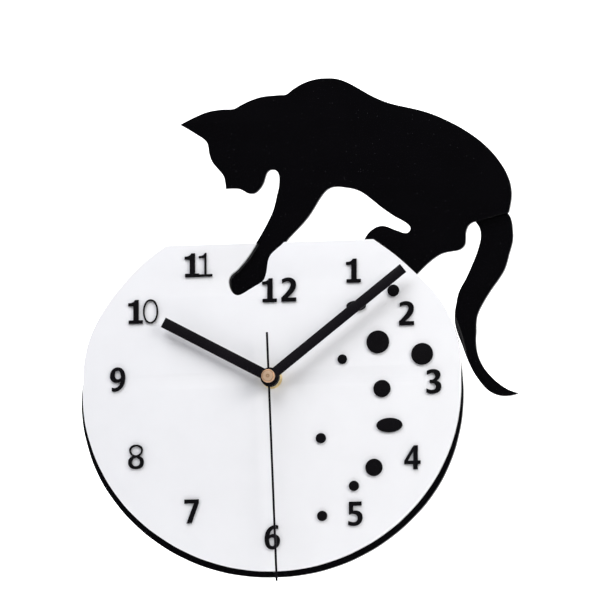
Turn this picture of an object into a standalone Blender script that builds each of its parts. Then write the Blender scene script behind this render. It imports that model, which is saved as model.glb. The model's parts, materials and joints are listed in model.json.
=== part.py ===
"""Cat tail clock: a flat acrylic cat leaning over a round bowl dial, with a tail that swings.

Shapes are drawn in clock space, in millimetres: x to the right, y up and h out of the wall
towards the viewer. An empty named clock_frame turns clock space upright, so the wall is the
world plane y = 0 and the front of the clock faces -Y. The origin is on the wall plane, on the
axis of the hands.
"""

import math

import bmesh
import bpy
from mathutils import Matrix, Vector

MM = 0.001                      # one millimetre in metres
GAP = 0.3                       # between pieces that touch

# Depths out of the wall, back to front
CASE_DEPTH = 15.5               # movement case, a common 56 mm quartz movement
CASE_SIZE = 56.0
CASE_WALL = 1.2
HANGER_SHEET = 0.8
WASHER_SHEET = 0.6
PLATE = 3.0                     # acrylic sheet of the cat and of the dial
HANGER_BACK = CASE_DEPTH + GAP
RUBBER_BACK = HANGER_BACK + HANGER_SHEET + GAP
CAT_BACK = RUBBER_BACK + WASHER_SHEET + GAP
DIAL_BACK = CAT_BACK + PLATE + GAP
DIAL_FRONT = DIAL_BACK + PLATE
INLAY = 0.7                     # numerals and bubbles
BRASS_BACK = DIAL_FRONT + GAP
NUT_BACK = BRASS_BACK + WASHER_SHEET + GAP
NUT_DEPTH = 2.2
BUSHING_FRONT = NUT_BACK + NUT_DEPTH + 0.6
HAND_SHEET = 0.6
HOUR_HAND_BACK = BUSHING_FRONT + 0.8
MINUTE_HAND_BACK = HOUR_HAND_BACK + 2.6
SECOND_HAND_BACK = MINUTE_HAND_BACK + 2.6
CAP_DEPTH = 2.2

# The dial and its black rim
# Radius of the bowl at angles clockwise from the right; it is not quite round
BOWL = [(0, 113.8), (8, 114.6), (16, 115.4), (24, 116.0), (35, 116.3), (50, 116.3), (65, 115.7),
        (80, 115.3), (95, 114.9), (110, 114.9), (125, 115.2), (140, 116.0), (150, 116.3),
        (160, 116.4), (172, 116.0), (180, 115.2)]
BOWL_TOP = 81.8
BOWL_CORNERS = (-64.5, 61.2)     # left and right end of the flat top
BOWL_RIGHT = [(66.2, 78.2), (73.5, 72.7), (80.8, 66.3), (88.1, 59.3), (91.5, 56.0)]
BOWL_SHOULDER = [(100.5, 45.5), (108.0, 32.5), (112.8, 17.5)]
BOWL_LEFT = [(-113.8, 17.5), (-109.0, 32.5), (-101.6, 45.5), (-92.0, 58.0), (-77.0, 73.0)]
RIM_INSET = 1.0
# Width of the black rim at angles clockwise from the right
RIM = [(0, 0.5), (8, 1.4), (16, 2.0), (22, 2.8), (35, 3.7), (50, 3.6), (65, 3.8), (90, 3.4),
       (110, 3.8), (125, 3.8), (140, 3.4), (152, 3.3), (160, 2.6), (172, 1.8), (180, 0.8)]
SHAFT_HOLE = 4.4

# Hands: length from the axis and width; angles clockwise from 12
HOUR_HAND = (74.0, 6.4)
MINUTE_HAND = (102.4, 6.2)
SECOND_HAND = (122.6, 1.3)
SECOND_COUNTER = 26.5
HOUR_ANGLE, MINUTE_ANGLE, SECOND_ANGLE = 298.3, 52.2, 177.7
HOUR_HUB = 5.7
MINUTE_HUB = 5.7
SECOND_HUB = 3.0

# Swing module and tail
TAIL_PIVOT = (126.6, 110.5)
TAIL_BACK = 14.1
SWING_DEPTH = 13.4
SWING_LOW = (75.0, 97.5)
SWING_HIGH = (133.0, 130.5)
SWING_WALL = 1.1

# Gear train: module and centre distances in millimetres, teeth as counted on each gear
SECOND_MODULE, SECOND_TEETH, SECOND_PINION = 0.30, 40, 8
THIRD_MODULE, THIRD_TEETH, THIRD_PINION = 0.27, 60, 8
MINUTE_MODULE, MINUTE_TEETH, CANNON_PINION = 0.255, 64, 12
INTER_MODULE, INTER_TEETH, INTER_PINION = 0.25, 48, 8
ROTOR_PINION = 8
MOTION_MODULE, MOTION_TEETH, MOTION_PINION = 0.30, 36, 10
HOUR_MODULE, HOUR_TEETH = 0.288, 40
KNOB_PINION = 12
THIRD_BEARING, INTER_BEARING, ROTOR_BEARING = 60.0, 150.0, 120.0
MOTION_BEARING, KNOB_BEARING = -8.0, 20.0
WHEEL_SHEET = 0.8
PINION_DEPTH = 1.3

BLACK_ACRYLIC = ((0.006, 0.006, 0.008), 0.08, 0.0)
WHITE_ACRYLIC = ((0.86, 0.86, 0.88), 0.12, 0.0)
SATIN_BLACK = ((0.012, 0.011, 0.013), 0.35, 0.3)
BLACK_PLASTIC = ((0.02, 0.02, 0.021), 0.5, 0.0)
WHITE_PLASTIC = ((0.75, 0.75, 0.72), 0.45, 0.0)
BRASS = ((0.72, 0.47, 0.16), 0.25, 1.0)
STEEL = ((0.55, 0.55, 0.56), 0.3, 1.0)
COPPER = ((0.6, 0.24, 0.1), 0.35, 1.0)
RUBBER = ((0.015, 0.015, 0.015), 0.8, 0.0)
BOARD_GREEN = ((0.02, 0.12, 0.05), 0.5, 0.0)
CELL_WRAP = ((0.05, 0.09, 0.16), 0.35, 0.2)
FOAM = ((0.1, 0.1, 0.1), 0.9, 0.0)


# ---------------------------------------------------------------- scene and materials

def clear_scene():
    for item in list(bpy.data.objects):
        bpy.data.objects.remove(item, do_unlink=True)


def make_collection(name):
    group = bpy.data.collections.new(name)
    bpy.context.scene.collection.children.link(group)
    return group


def make_material(name, finish):
    colour, roughness, metallic = finish
    material = bpy.data.materials.new(name)
    material.use_nodes = True
    shader = material.node_tree.nodes["Principled BSDF"]
    shader.inputs["Base Color"].default_value = (*colour, 1.0)
    shader.inputs["Roughness"].default_value = roughness
    shader.inputs["Metallic"].default_value = metallic
    return material


clear_scene()
PARTS = make_collection("cat_tail_clock")
CUTTERS = make_collection("cutters")
FRAME = bpy.data.objects.new("clock_frame", None)
FRAME.rotation_euler = (math.radians(90), 0, 0)
PARTS.objects.link(FRAME)


# ---------------------------------------------------------------- meshes in clock space

def polar(radius, degrees, centre=(0.0, 0.0)):
    turn = math.radians(degrees)
    return (centre[0] + radius * math.cos(turn), centre[1] + radius * math.sin(turn))


def arc(radius, start, end, steps, centre=(0.0, 0.0)):
    return [polar(radius, start + (end - start) * i / steps, centre) for i in range(steps + 1)]


def circle(radius, steps=32, centre=(0.0, 0.0)):
    return arc(radius, 0, 360, steps, centre)[:-1]


def add_spline(curve, points, smooth=False, corners=()):
    """A closed outline: straight between its points, or smooth except at the corners."""
    spline = curve.splines.new("BEZIER" if smooth else "POLY")
    spline.use_cyclic_u = True
    if not smooth:
        spline.points.add(len(points) - 1)
        for target, (x, y) in zip(spline.points, points):
            target.co = (x * MM, y * MM, 0, 1)
        return
    spline.bezier_points.add(len(points) - 1)
    for number, (target, (x, y)) in enumerate(zip(spline.bezier_points, points)):
        target.co = (x * MM, y * MM, 0)
        kind = "VECTOR" if number in corners else "AUTO"
        target.handle_left_type = target.handle_right_type = kind


def evaluated_mesh(item):
    """The mesh that a curve or text object makes, with its loose caps welded on."""
    PARTS.objects.link(item)
    bpy.context.view_layer.update()
    ready = item.evaluated_get(bpy.context.evaluated_depsgraph_get())
    mesh = bpy.data.meshes.new_from_object(ready)
    bpy.data.objects.remove(item, do_unlink=True)
    work = bmesh.new()
    work.from_mesh(mesh)
    bmesh.ops.remove_doubles(work, verts=work.verts, dist=0.002 * MM)
    work.to_mesh(mesh)
    work.free()
    return mesh


def sheet(outlines, back, thickness, smooth=False, corners=(), resolution=2):
    """A flat piece cut from sheet; the first outline is its edge and the others are holes."""
    curve = bpy.data.curves.new("outline", "CURVE")
    curve.dimensions = "2D"
    curve.fill_mode = "BOTH"
    curve.resolution_u = resolution
    curve.extrude = thickness / 2 * MM
    for number, points in enumerate(outlines):
        add_spline(curve, points, smooth and number == 0, corners if number == 0 else ())
    mesh = evaluated_mesh(bpy.data.objects.new("outline", curve))
    mesh.transform(Matrix.Translation((0, 0, (back + thickness / 2) * MM)))
    return mesh


def turned(profile, steps=24):
    """A body turned about h; the profile of (radius, h) runs from the front down its outside."""
    mesh = bpy.data.meshes.new("profile")
    points = [Vector((radius * MM, 0, h * MM)) for radius, h in profile]
    hollow = all(radius > 0 for radius, _ in profile)
    edges = [(i, i + 1) for i in range(len(points) - 1)]
    if hollow:
        edges.append((len(points) - 1, 0))
    mesh.from_pydata(points, edges, [])
    item = bpy.data.objects.new("profile", mesh)
    screw = item.modifiers.new("turn", "SCREW")
    screw.steps = screw.render_steps = steps
    screw.use_merge_vertices = True
    screw.merge_threshold = 0.002 * MM
    return evaluated_mesh(item)


def rod(radius, back, front, steps=16):
    return turned([(0, front), (radius, front), (radius, back), (0, back)], steps)


def ring(outer, inner, back, front, steps=32):
    return turned([(outer, front), (outer, back), (inner, back), (inner, front)], steps)


def block(low, high, bevel=0.0):
    """A box between two corners (x, y, h), with its edges rounded by one step."""
    work = bmesh.new()
    bmesh.ops.create_cube(work, size=1.0)
    size = [b - a for a, b in zip(low, high)]
    middle = [(a + b) / 2 for a, b in zip(low, high)]
    bmesh.ops.scale(work, vec=[s * MM for s in size], verts=work.verts)
    bmesh.ops.translate(work, vec=[m * MM for m in middle], verts=work.verts)
    if bevel:
        bmesh.ops.bevel(work, geom=work.edges, offset=bevel * MM, segments=1, affect="EDGES")
    mesh = bpy.data.meshes.new("block")
    work.to_mesh(mesh)
    work.free()
    return mesh


def across(mesh, centre):
    """Turns a piece made along h so that it lies along x, about a centre (x, y, h)."""
    place = Matrix.Translation([c * MM for c in centre])
    mesh.transform(place @ Matrix.Rotation(math.radians(90), 4, "Y"))
    return mesh


# ---------------------------------------------------------------- objects

def place(name, mesh, finish, at=(0.0, 0.0), group=None):
    """Puts a mesh, drawn around its own axis, at its place on the clock frame."""
    mesh.name = name
    item = bpy.data.objects.new(name, mesh)
    item.parent = FRAME
    item.location = (at[0] * MM, at[1] * MM, 0)
    if finish:
        mesh.materials.clear()
        mesh.materials.append(make_material(name, finish))
    mesh.shade_smooth()
    mesh.set_sharp_from_angle(angle=math.radians(30))
    (group or PARTS).objects.link(item)
    return item


def boolean(item, operation, meshes):
    """Joins or cuts meshes drawn in the same place as the item."""
    for mesh in meshes:
        name = f"{item.name}_{operation.lower()}_{len(item.modifiers)}"
        tool = place(name, mesh, None, item.location.xy / MM, CUTTERS)
        tool.hide_render = True
        tool.display_type = "WIRE"
        step = item.modifiers.new(operation.lower(), "BOOLEAN")
        step.operation = operation
        step.solver = "EXACT"
        step.object = tool
    return item


# ---------------------------------------------------------------- the cat and the bowl

def between(table, degrees):
    """The value at an angle, on a straight line between the listed ones."""
    for (start, value), (end, next_value) in zip(table, table[1:]):
        if degrees <= end:
            return value + (next_value - value) * (degrees - start) / (end - start)
    return table[-1][1]


def bowl_arc(rim=0.0):
    """The lower half of the bowl from right to left; rim is the share of the rim to add."""
    angles = [180 * step / 20 for step in range(21)]
    return [polar(between(BOWL, at) + rim * between(RIM, at), -at) for at in angles]


def dial_edge():
    """The bowl outline from its top right corner clockwise to its top left corner."""
    return BOWL_RIGHT + BOWL_SHOULDER + bowl_arc() + BOWL_LEFT


PAW = [(-9.9, BOWL_TOP), (-12.6, 77.3), (-16.9, 71.4), (-22.3, 65.6), (-25.6, 62.7),
       (-26.7, 59.7), (-26.4, 56.7), (-25.2, 53.7), (-23.4, 51.6), (-20.9, 50.7), (-18.4, 51.4),
       (-14.9, 53.4), (-10.0, 56.2), (-5.6, 59.1), (-4.2, 62.0), (-3.4, 65.5), (-2.7, 70.5),
       (-1.4, 73.9), (1.4, 76.9), (4.9, 79.7), (7.1, BOWL_TOP)]


def dial_plate():
    """White acrylic bowl with a notch at the top that shows the black paw behind it."""
    left_end, right_end = BOWL_CORNERS
    outline = [(right_end, BOWL_TOP)] + dial_edge() + [(left_end, BOWL_TOP)] + PAW
    first_paw = len(outline) - len(PAW)
    corners = {0, first_paw - 1, first_paw, len(outline) - 1}
    mesh = sheet([outline, circle(SHAFT_HOLE, 20)], DIAL_BACK, PLATE, True, corners)
    place("dial_plate", mesh, WHITE_ACRYLIC)


HIND_LEG = [(85.0, 58.5), (91.0, 64.5), (97.0, 69.5), (102.5, 72.5), (108.0, 73.5), (113.0, 74.5),
            (116.0, 77.5), (116.5, 84.0), (118.0, 88.5), (120.5, 90.5)]
BACK_OF_CAT = [(142.5, 96.0), (144.0, 103.5), (144.0, 110.0), (142.0, 117.5), (137.0, 126.5),
               (129.5, 135.5), (119.0, 144.1), (105.5, 152.1), (93.0, 157.6), (80.5, 161.1),
               (71.0, 163.6), (59.5, 168.6), (49.5, 174.6), (40.0, 179.1), (32.5, 180.1),
               (25.0, 179.6), (16.0, 176.6), (7.5, 171.1)]
HEAD = [(-1.1, 170.7), (-7.1, 170.2), (-16.6, 167.2), (-23.6, 163.7), (-40.1, 162.2),
        (-57.0, 155.0), (-46.5, 148.5), (-40.5, 143.5), (-39.4, 138.0), (-37.4, 132.0),
        (-33.4, 127.0), (-30.4, 123.0), (-29.0, 115.5), (-20.5, 115.0), (-16.0, 112.5),
        (-13.5, 112.0), (-11.0, 112.5), (-6.0, 118.5), (-3.5, 125.0), (-1.0, 126.0), (2.0, 125.0),
        (3.5, 119.5), (2.0, 110.5), (-0.3, 101.4), (-3.0, 95.5), (-6.2, 89.6), (-9.7, 83.7)]
HEAD_CORNERS = {3, 5, 12}
WINDOW = [(6.8, 80.5), (8.1, 83.1), (10.7, 86.0), (16.6, 91.9), (21.6, 97.7), (24.5, 102.0),
          (30.5, 111.0), (33.5, 113.5), (37.0, 114.5), (43.0, 114.0), (51.0, 112.0), (56.0, 109.0),
          (64.5, 102.0), (73.5, 95.5), (81.5, 90.5), (83.0, 88.0), (81.0, 85.5), (76.5, 86.5),
          (71.5, 88.5), (67.5, 90.0), (64.0, 90.0), (60.5, 88.5), (57.5, 86.0), (54.0, 80.5)]


def cat_back_plate():
    """One black sheet: the cat's silhouette, and the bowl backing that shows as a rim."""
    top = BOWL_TOP - RIM_INSET
    left = [(x + RIM_INSET, y - RIM_INSET) for x, y in reversed(BOWL_LEFT)]
    bottom = list(reversed(bowl_arc(1.0)))
    leg_top = [(-11.6, top), (BOWL_CORNERS[0] + RIM_INSET, top)]
    right = [(x - RIM_INSET, y - RIM_INSET / 2) for x, y in reversed(BOWL_SHOULDER)]
    outline = leg_top + left + bottom + right + HIND_LEG + BACK_OF_CAT + HEAD
    tail_seam = len(outline) - len(HEAD) - len(BACK_OF_CAT)
    head_start = len(outline) - len(HEAD)
    corners = {0, 1, tail_seam - len(HIND_LEG), tail_seam - 1, tail_seam, head_start - 1}
    corners |= {head_start + number for number in HEAD_CORNERS}
    mesh = sheet([outline, circle(SHAFT_HOLE, 20)], CAT_BACK, PLATE, True, corners)
    plate = place("cat_back_plate", mesh, BLACK_ACRYLIC)
    window = sheet([WINDOW], CAT_BACK - 2, PLATE + 4, True, {0, len(WINDOW) - 1})
    boolean(plate, "DIFFERENCE", [window])


TAIL = [(142.5, 94.0), (144.1, 86.0), (144.1, 79.5), (142.1, 72.0), (139.0, 62.0), (131.5, 51.0),
        (125.5, 41.5), (122.5, 34.5), (122.0, 26.0), (122.0, 16.5), (124.5, 7.5), (130.0, -0.5),
        (136.5, -6.5), (142.0, -10.0), (147.5, -12.0), (144.5, -13.0), (140.0, -13.5),
        (135.5, -13.0), (130.0, -10.5), (123.5, -3.5), (118.0, 6.0), (113.0, 19.0), (109.5, 29.0),
        (109.0, 36.5), (110.0, 43.0), (111.3, 49.0), (115.8, 57.5), (120.8, 68.5), (123.8, 77.0),
        (124.8, 84.5), (123.0, 89.5), (117.0, 96.0), (116.0, 104.0)]
TAIL_TIP = 14
TAIL_EYE = 8.0
SWING_SHAFT = 1.5


def cat_tail():
    """The tail, with a round eye hidden behind the rump that is pressed on the swing shaft."""
    x, y = TAIL_PIVOT
    eye = arc(TAIL_EYE, 170, -10, 6, TAIL_PIVOT)
    outline = [(px - x, py - y) for px, py in TAIL + eye + [(136.0, 102.5)]]
    hole = circle(SWING_SHAFT + 0.1, 12)
    place("cat_tail", sheet([outline, hole], TAIL_BACK, PLATE, True, {TAIL_TIP}), BLACK_ACRYLIC,
          TAIL_PIVOT)


FIGURE_HEIGHT = 14.4
FIGURE_GRID = (0.15, 0.144)     # millimetres for one step of the figures' grid, across and up
FIGURE_MIDDLE = 33.0            # middle of a figure on the grid
FIGURE_PITCH = {10: 9.0, 11: 8.0, 12: 11.5}    # between the middles of two figures
BRIDGE = 9.6
NUMERALS = {12: (4.3, 53.0), 1: (49.5, 63.2), 2: (81.4, 36.6), 3: (97.9, -4.6),
            4: (84.8, -49.7), 5: (50.3, -82.3), 6: (0.2, -95.0), 7: (-48.9, -78.2),
            8: (-82.6, -44.5), 9: (-93.9, 2.2), 10: (-78.4, 42.5), 11: (-44.6, 69.5)}

# Outlines on a grid 66 wide and 100 high: the edge, its corners by number, and the holes
FIGURES = {
    "0": ([(33, 101), (50, 95), (61, 76), (64, 50), (61, 24), (50, 5), (33, -1), (16, 5),
           (5, 24), (2, 50), (5, 76), (16, 95)], (),
          [[(33, 94), (45, 88), (54, 72), (57, 50), (54, 28), (45, 12), (33, 6), (21, 12),
            (12, 28), (9, 50), (12, 72), (21, 88)]]),
    "1": ([(4, 0), (62, 0), (62, 15), (45, 15), (45, 100), (29, 100), (18, 89), (2, 87), (2, 74),
           (23, 74), (23, 15), (4, 15)], range(12), []),
    "2": ([(3, 0), (64, 0), (64, 17), (29, 17), (52, 40), (63, 69), (54, 93), (33, 101), (6, 94),
           (6, 76), (29, 85), (41, 71), (27, 43), (3, 18)], (0, 1, 2, 3, 8, 9, 13), []),
    "3": ([(3, 4), (3, 22), (26, 15), (41, 28), (33, 41), (16, 43), (16, 57), (33, 61), (39, 71),
           (25, 85), (5, 78), (5, 95), (30, 101), (57, 89), (55, 62), (45, 52), (61, 42),
           (54, 6), (25, -1)], (0, 1, 5, 6, 10, 11, 15), []),
    "4": ([(37, 0), (56, 0), (56, 22), (67, 22), (67, 37), (56, 37), (56, 100), (39, 100),
           (1, 37), (1, 22), (37, 22)], range(11), [[(37, 37), (37, 75), (16, 37)]]),
    "5": ([(5, 4), (5, 21), (27, 15), (43, 28), (36, 46), (25, 49), (8, 46), (8, 100), (59, 100),
           (59, 83), (25, 83), (25, 63), (52, 58), (63, 32), (48, 4), (18, 0)],
          (0, 1, 6, 7, 8, 9, 10, 11), []),
    "6": ([(57, 98), (57, 82), (35, 82), (22, 59), (42, 64), (63, 46), (58, 13), (33, -1),
           (7, 16), (3, 57), (23, 93), (48, 101)], (0, 1, 3),
          [[(22, 45), (31, 49), (39, 46), (44, 37), (44, 27), (40, 16), (33, 13), (26, 17),
            (22, 28)]]),
    "7": ([(4, 100), (63, 100), (63, 84), (34, 0), (13, 0), (43, 83), (4, 83)], range(7), []),
    "8": ([(33, 101), (58, 89), (57, 63), (48, 53), (60, 44), (62, 13), (33, -1), (4, 13),
           (6, 44), (18, 53), (9, 63), (8, 89)], (3, 9),
          [[(33, 92), (43, 89), (51, 82), (53, 74), (48, 64), (39, 58), (27, 58), (18, 64),
            (13, 74), (15, 82), (23, 89)],
           [(33, 47), (41, 42), (48, 34), (48, 22), (43, 14), (33, 11), (23, 14), (18, 22),
            (18, 34), (25, 42)]]),
}


def on_grid(points, upside_down):
    """Figure points in millimetres, standing on the base line and centred on x."""
    across_step, up_step = FIGURE_GRID
    placed = [((x - FIGURE_MIDDLE) * across_step, y * up_step) for x, y in points]
    if upside_down:
        placed = [(-x, FIGURE_HEIGHT - y) for x, y in placed]
    return placed


def figure(digit):
    """One figure in thin sheet; a 9 is a 6 upside down."""
    upside_down = digit == "9"
    edge, corners, holes = FIGURES["6" if upside_down else digit]
    outlines = [on_grid(points, upside_down) for points in [edge, *holes]]
    return sheet(outlines, -INLAY / 2, INLAY, True, corners)


def numeral(hour, centre):
    """An hour numeral glued to the dial; two figures are joined by a thin bridge at the base."""
    digits = str(hour)
    lift = DIAL_FRONT + GAP + INLAY / 2
    meshes = []
    for number, digit in enumerate(digits):
        mesh = figure(digit)
        shift = (number - (len(digits) - 1) / 2) * FIGURE_PITCH.get(hour, 0)
        mesh.transform(Matrix.Translation((shift * MM, -FIGURE_HEIGHT / 2 * MM, lift * MM)))
        meshes.append(mesh)
    item = place(f"numeral_{hour:02d}", meshes[0], BLACK_ACRYLIC, centre)
    if len(digits) == 2:
        base = -FIGURE_HEIGHT / 2
        low = (-BRIDGE / 2, base + 0.2, lift - 0.2)
        bridge = block(low, (BRIDGE / 2, base + 0.8, lift + 0.2))
        boolean(item, "UNION", [bridge, meshes[1]])


# Each bubble: centre and its two radii
BUBBLES = [(73.5, 50.5, 3.6, 3.6), (51.0, 42.0, 6.0, 3.2), (64.1, 20.0, 6.9, 6.9),
           (90.9, 12.0, 6.6, 6.6), (42.6, 10.3, 2.9, 2.9), (66.6, -8.0, 5.2, 5.2),
           (71.1, -30.0, 7.9, 4.4), (29.6, -36.6, 3.1, 3.1), (61.7, -55.0, 5.2, 5.2),
           (49.6, -65.7, 3.1, 3.1), (30.4, -83.1, 3.1, 3.1)]


def bubbles():
    """Round and oval black spots, glued to the dial as bubbles."""
    for number, (x, y, wide, high) in enumerate(BUBBLES, start=1):
        outline = [(wide * px, high * py) for px, py in circle(1.0, 16)]
        mesh = sheet([outline], DIAL_FRONT + GAP, INLAY)
        place(f"bubble_{number:02d}", mesh, BLACK_ACRYLIC, (x, y))


# ---------------------------------------------------------------- gears

def gear_outline(teeth, module, phase, leaf=False):
    """Teeth as straight-sided points; a leaf, on a pinion, is slimmer and cut deeper."""
    pitch = 2 * math.pi / teeth
    middle = module * teeth / 2
    tip = middle + (0.75 if leaf else 0.9) * module
    root = middle - (1.25 if leaf else 1.15) * module
    half_tip = (0.09 if leaf else 0.08) * pitch
    half_root = (0.21 if leaf else 0.27) * pitch
    flank = [(root, -half_root), (tip, -half_tip), (tip, half_tip), (root, half_root)]
    outline = []
    for tooth in range(teeth):
        for radius, turn in flank:
            angle = phase + tooth * pitch + turn
            outline.append((radius * math.cos(angle), radius * math.sin(angle)))
    return outline


def gear(teeth, module, phase, back, depth, leaf=False, bore=0.0):
    holes = [circle(bore, 12)] if bore else []
    return sheet([gear_outline(teeth, module, phase, leaf)] + holes, back, depth)


def meshed_phase(phase, teeth, bearing, other_teeth):
    """Turn of a gear that lies at a bearing from a gear with a known phase, teeth in gaps."""
    toward = math.radians(bearing)
    share = (toward - phase) * teeth / (2 * math.pi)
    return toward + math.pi - (0.5 - share) * 2 * math.pi / other_teeth


def distance(module, teeth, other):
    return module * (teeth + other) / 2


# Depths of the wheels in the movement, back to front
INTER_WHEEL_AT = 4.0
SECOND_WHEEL_AT = 6.0
THIRD_WHEEL_AT = 8.1
MINUTE_WHEEL_AT = 10.0
MOTION_WHEEL_AT = 11.6
HOUR_WHEEL_AT = 12.9
TRAIN_PLATE_AT = 2.0
TRAIN_PLATE_SHEET = 0.8
ARBOR = 0.5
PIVOT_END = 2.4
PIVOT_FRONT = 13.2

THIRD_AT = polar(distance(THIRD_MODULE, THIRD_TEETH, SECOND_PINION), THIRD_BEARING)
INTER_AT = polar(distance(SECOND_MODULE, SECOND_TEETH, INTER_PINION), INTER_BEARING)
ROTOR_AT = polar(distance(INTER_MODULE, INTER_TEETH, ROTOR_PINION), ROTOR_BEARING, INTER_AT)
MOTION_AT = polar(distance(MOTION_MODULE, CANNON_PINION, MOTION_TEETH), MOTION_BEARING)
KNOB_AT = polar(distance(MOTION_MODULE, MOTION_TEETH, KNOB_PINION), KNOB_BEARING, MOTION_AT)

SECOND_PIN = 0.55
MINUTE_PIPE, MINUTE_BORE = 1.6, 0.65
HOUR_PIPE, HOUR_BORE = 2.5, 1.7
BUSHING_RADIUS, BUSHING_BORE = 4.0, 2.6


def second_wheel():
    """The wheel behind the others, with its pinion and the steel pin that holds the hand."""
    wheel = gear(SECOND_TEETH, SECOND_MODULE, 0.0, SECOND_WHEEL_AT, WHEEL_SHEET)
    pinion = gear(SECOND_PINION, THIRD_MODULE, 0.0, SECOND_WHEEL_AT + 0.4, 2.7, True)
    pin = rod(SECOND_PIN, PIVOT_END, SECOND_HAND_BACK + 2.2, 12)
    boolean(place("second_wheel", wheel, STEEL), "UNION", [pinion, pin])


def third_wheel():
    phase = meshed_phase(0.0, SECOND_PINION, THIRD_BEARING, THIRD_TEETH)
    wheel = gear(THIRD_TEETH, THIRD_MODULE, phase, THIRD_WHEEL_AT, WHEEL_SHEET)
    pinion = gear(THIRD_PINION, MINUTE_MODULE, 0.0, THIRD_WHEEL_AT + 0.4, 2.5, True)
    arbor = rod(ARBOR, PIVOT_END, PIVOT_FRONT, 12)
    boolean(place("third_wheel", wheel, BRASS, THIRD_AT), "UNION", [pinion, arbor])


def minute_wheel():
    """The centre wheel on its pipe, with the cannon pinion in front."""
    phase = meshed_phase(0.0, THIRD_PINION, THIRD_BEARING + 180, MINUTE_TEETH)
    wheel = gear(MINUTE_TEETH, MINUTE_MODULE, phase, MINUTE_WHEEL_AT, WHEEL_SHEET)
    pinion = gear(CANNON_PINION, MOTION_MODULE, 0.0, MINUTE_WHEEL_AT + 0.4, 2.3, True)
    pipe = rod(MINUTE_PIPE, MINUTE_WHEEL_AT + 0.2, MINUTE_HAND_BACK + 1.4, 16)
    bore = rod(MINUTE_BORE, 0.0, SECOND_HAND_BACK, 16)
    item = boolean(place("minute_wheel", wheel, BRASS), "UNION", [pinion, pipe])
    boolean(item, "DIFFERENCE", [bore])


def motion_wheel():
    phase = meshed_phase(0.0, CANNON_PINION, MOTION_BEARING, MOTION_TEETH)
    wheel = gear(MOTION_TEETH, MOTION_MODULE, phase, MOTION_WHEEL_AT, WHEEL_SHEET)
    pinion = gear(MOTION_PINION, HOUR_MODULE, 0.0, MOTION_WHEEL_AT + 0.4, 1.7, True)
    arbor = rod(ARBOR, MOTION_WHEEL_AT - 0.5, PIVOT_FRONT + 0.8, 12)
    item = place("motion_wheel", wheel, WHITE_PLASTIC, MOTION_AT)
    boolean(item, "UNION", [pinion, arbor])
    return phase


def hour_wheel():
    """The hour wheel on the widest pipe, which turns inside the threaded bushing."""
    phase = meshed_phase(0.0, MOTION_PINION, MOTION_BEARING + 180, HOUR_TEETH)
    wheel = gear(HOUR_TEETH, HOUR_MODULE, phase, HOUR_WHEEL_AT, WHEEL_SHEET)
    pipe = rod(HOUR_PIPE, HOUR_WHEEL_AT + 0.2, HOUR_HAND_BACK + 1.6, 20)
    bore = rod(HOUR_BORE, 0.0, SECOND_HAND_BACK, 20)
    item = boolean(place("hour_wheel", wheel, WHITE_PLASTIC), "UNION", [pipe])
    boolean(item, "DIFFERENCE", [bore])


def intermediate_wheel():
    pinion_phase = meshed_phase(0.0, SECOND_TEETH, INTER_BEARING, INTER_PINION)
    wheel = gear(INTER_TEETH, INTER_MODULE, 0.0, INTER_WHEEL_AT, WHEEL_SHEET)
    pinion = gear(INTER_PINION, SECOND_MODULE, pinion_phase, INTER_WHEEL_AT + 0.4, 3.0, True)
    arbor = rod(ARBOR, PIVOT_END, THIRD_WHEEL_AT - 0.5, 12)
    item = place("intermediate_wheel", wheel, WHITE_PLASTIC, INTER_AT)
    boolean(item, "UNION", [pinion, arbor])


ROTOR_MAGNET = 2.6
STATOR_GAP = 0.5


def rotor():
    """A round magnet on an arbor, with the pinion that drives the train."""
    phase = meshed_phase(0.0, INTER_TEETH, ROTOR_BEARING, ROTOR_PINION)
    magnet = rod(ROTOR_MAGNET, 8.2, 11.2, 20)
    pinion = gear(ROTOR_PINION, INTER_MODULE, phase, INTER_WHEEL_AT - 0.3, PINION_DEPTH, True)
    arbor = rod(ARBOR, PIVOT_END, PIVOT_FRONT, 12)
    boolean(place("rotor", magnet, STEEL, ROTOR_AT), "UNION", [pinion, arbor])


KNOB_BODY = 6.0
KNOB_STEM = 1.3


def setting_knob(motion_phase):
    """The thumb wheel at the back that turns the motion wheel to set the time."""
    phase = meshed_phase(motion_phase, MOTION_TEETH, KNOB_BEARING, KNOB_PINION)
    thumb = turned([(0, 1.4), (KNOB_BODY, 1.4), (KNOB_BODY, 0.5), (KNOB_BODY - 0.5, 0.1),
                    (0, 0.1)], 24)
    stem = rod(KNOB_STEM, 0.9, MOTION_WHEEL_AT + 1.4, 10)
    pinion = gear(KNOB_PINION, MOTION_MODULE, phase, MOTION_WHEEL_AT - 0.3, PINION_DEPTH, True)
    item = place("setting_knob", thumb, BLACK_PLASTIC, KNOB_AT)
    boolean(item, "UNION", [stem, pinion])


# ---------------------------------------------------------------- the movement

HALF = CASE_SIZE / 2
BAY_TOP = -11.3                 # the cell lies across the case below this line
CELL_RADIUS, CELL_LENGTH = 7.1, 49.0
CELL_AT = (0.0, -19.0, 7.7)


def movement_case():
    """Black front shell, open at the back, with a boss hole for the bushing."""
    shell = block((-HALF, -HALF, 0.0), (HALF, HALF, CASE_DEPTH), 0.8)
    inner = HALF - CASE_WALL
    hollow = block((-inner, BAY_TOP + CASE_WALL, -1.0), (inner, inner, CASE_DEPTH - CASE_WALL))
    bay = block((-inner, -inner, -1.0), (inner, BAY_TOP, CASE_DEPTH - CASE_WALL + 0.6))
    item = place("movement_case", shell, BLACK_PLASTIC)
    boolean(item, "DIFFERENCE", [hollow, bay, rod(BUSHING_RADIUS + 0.1, 0, 20, 24)])


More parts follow.
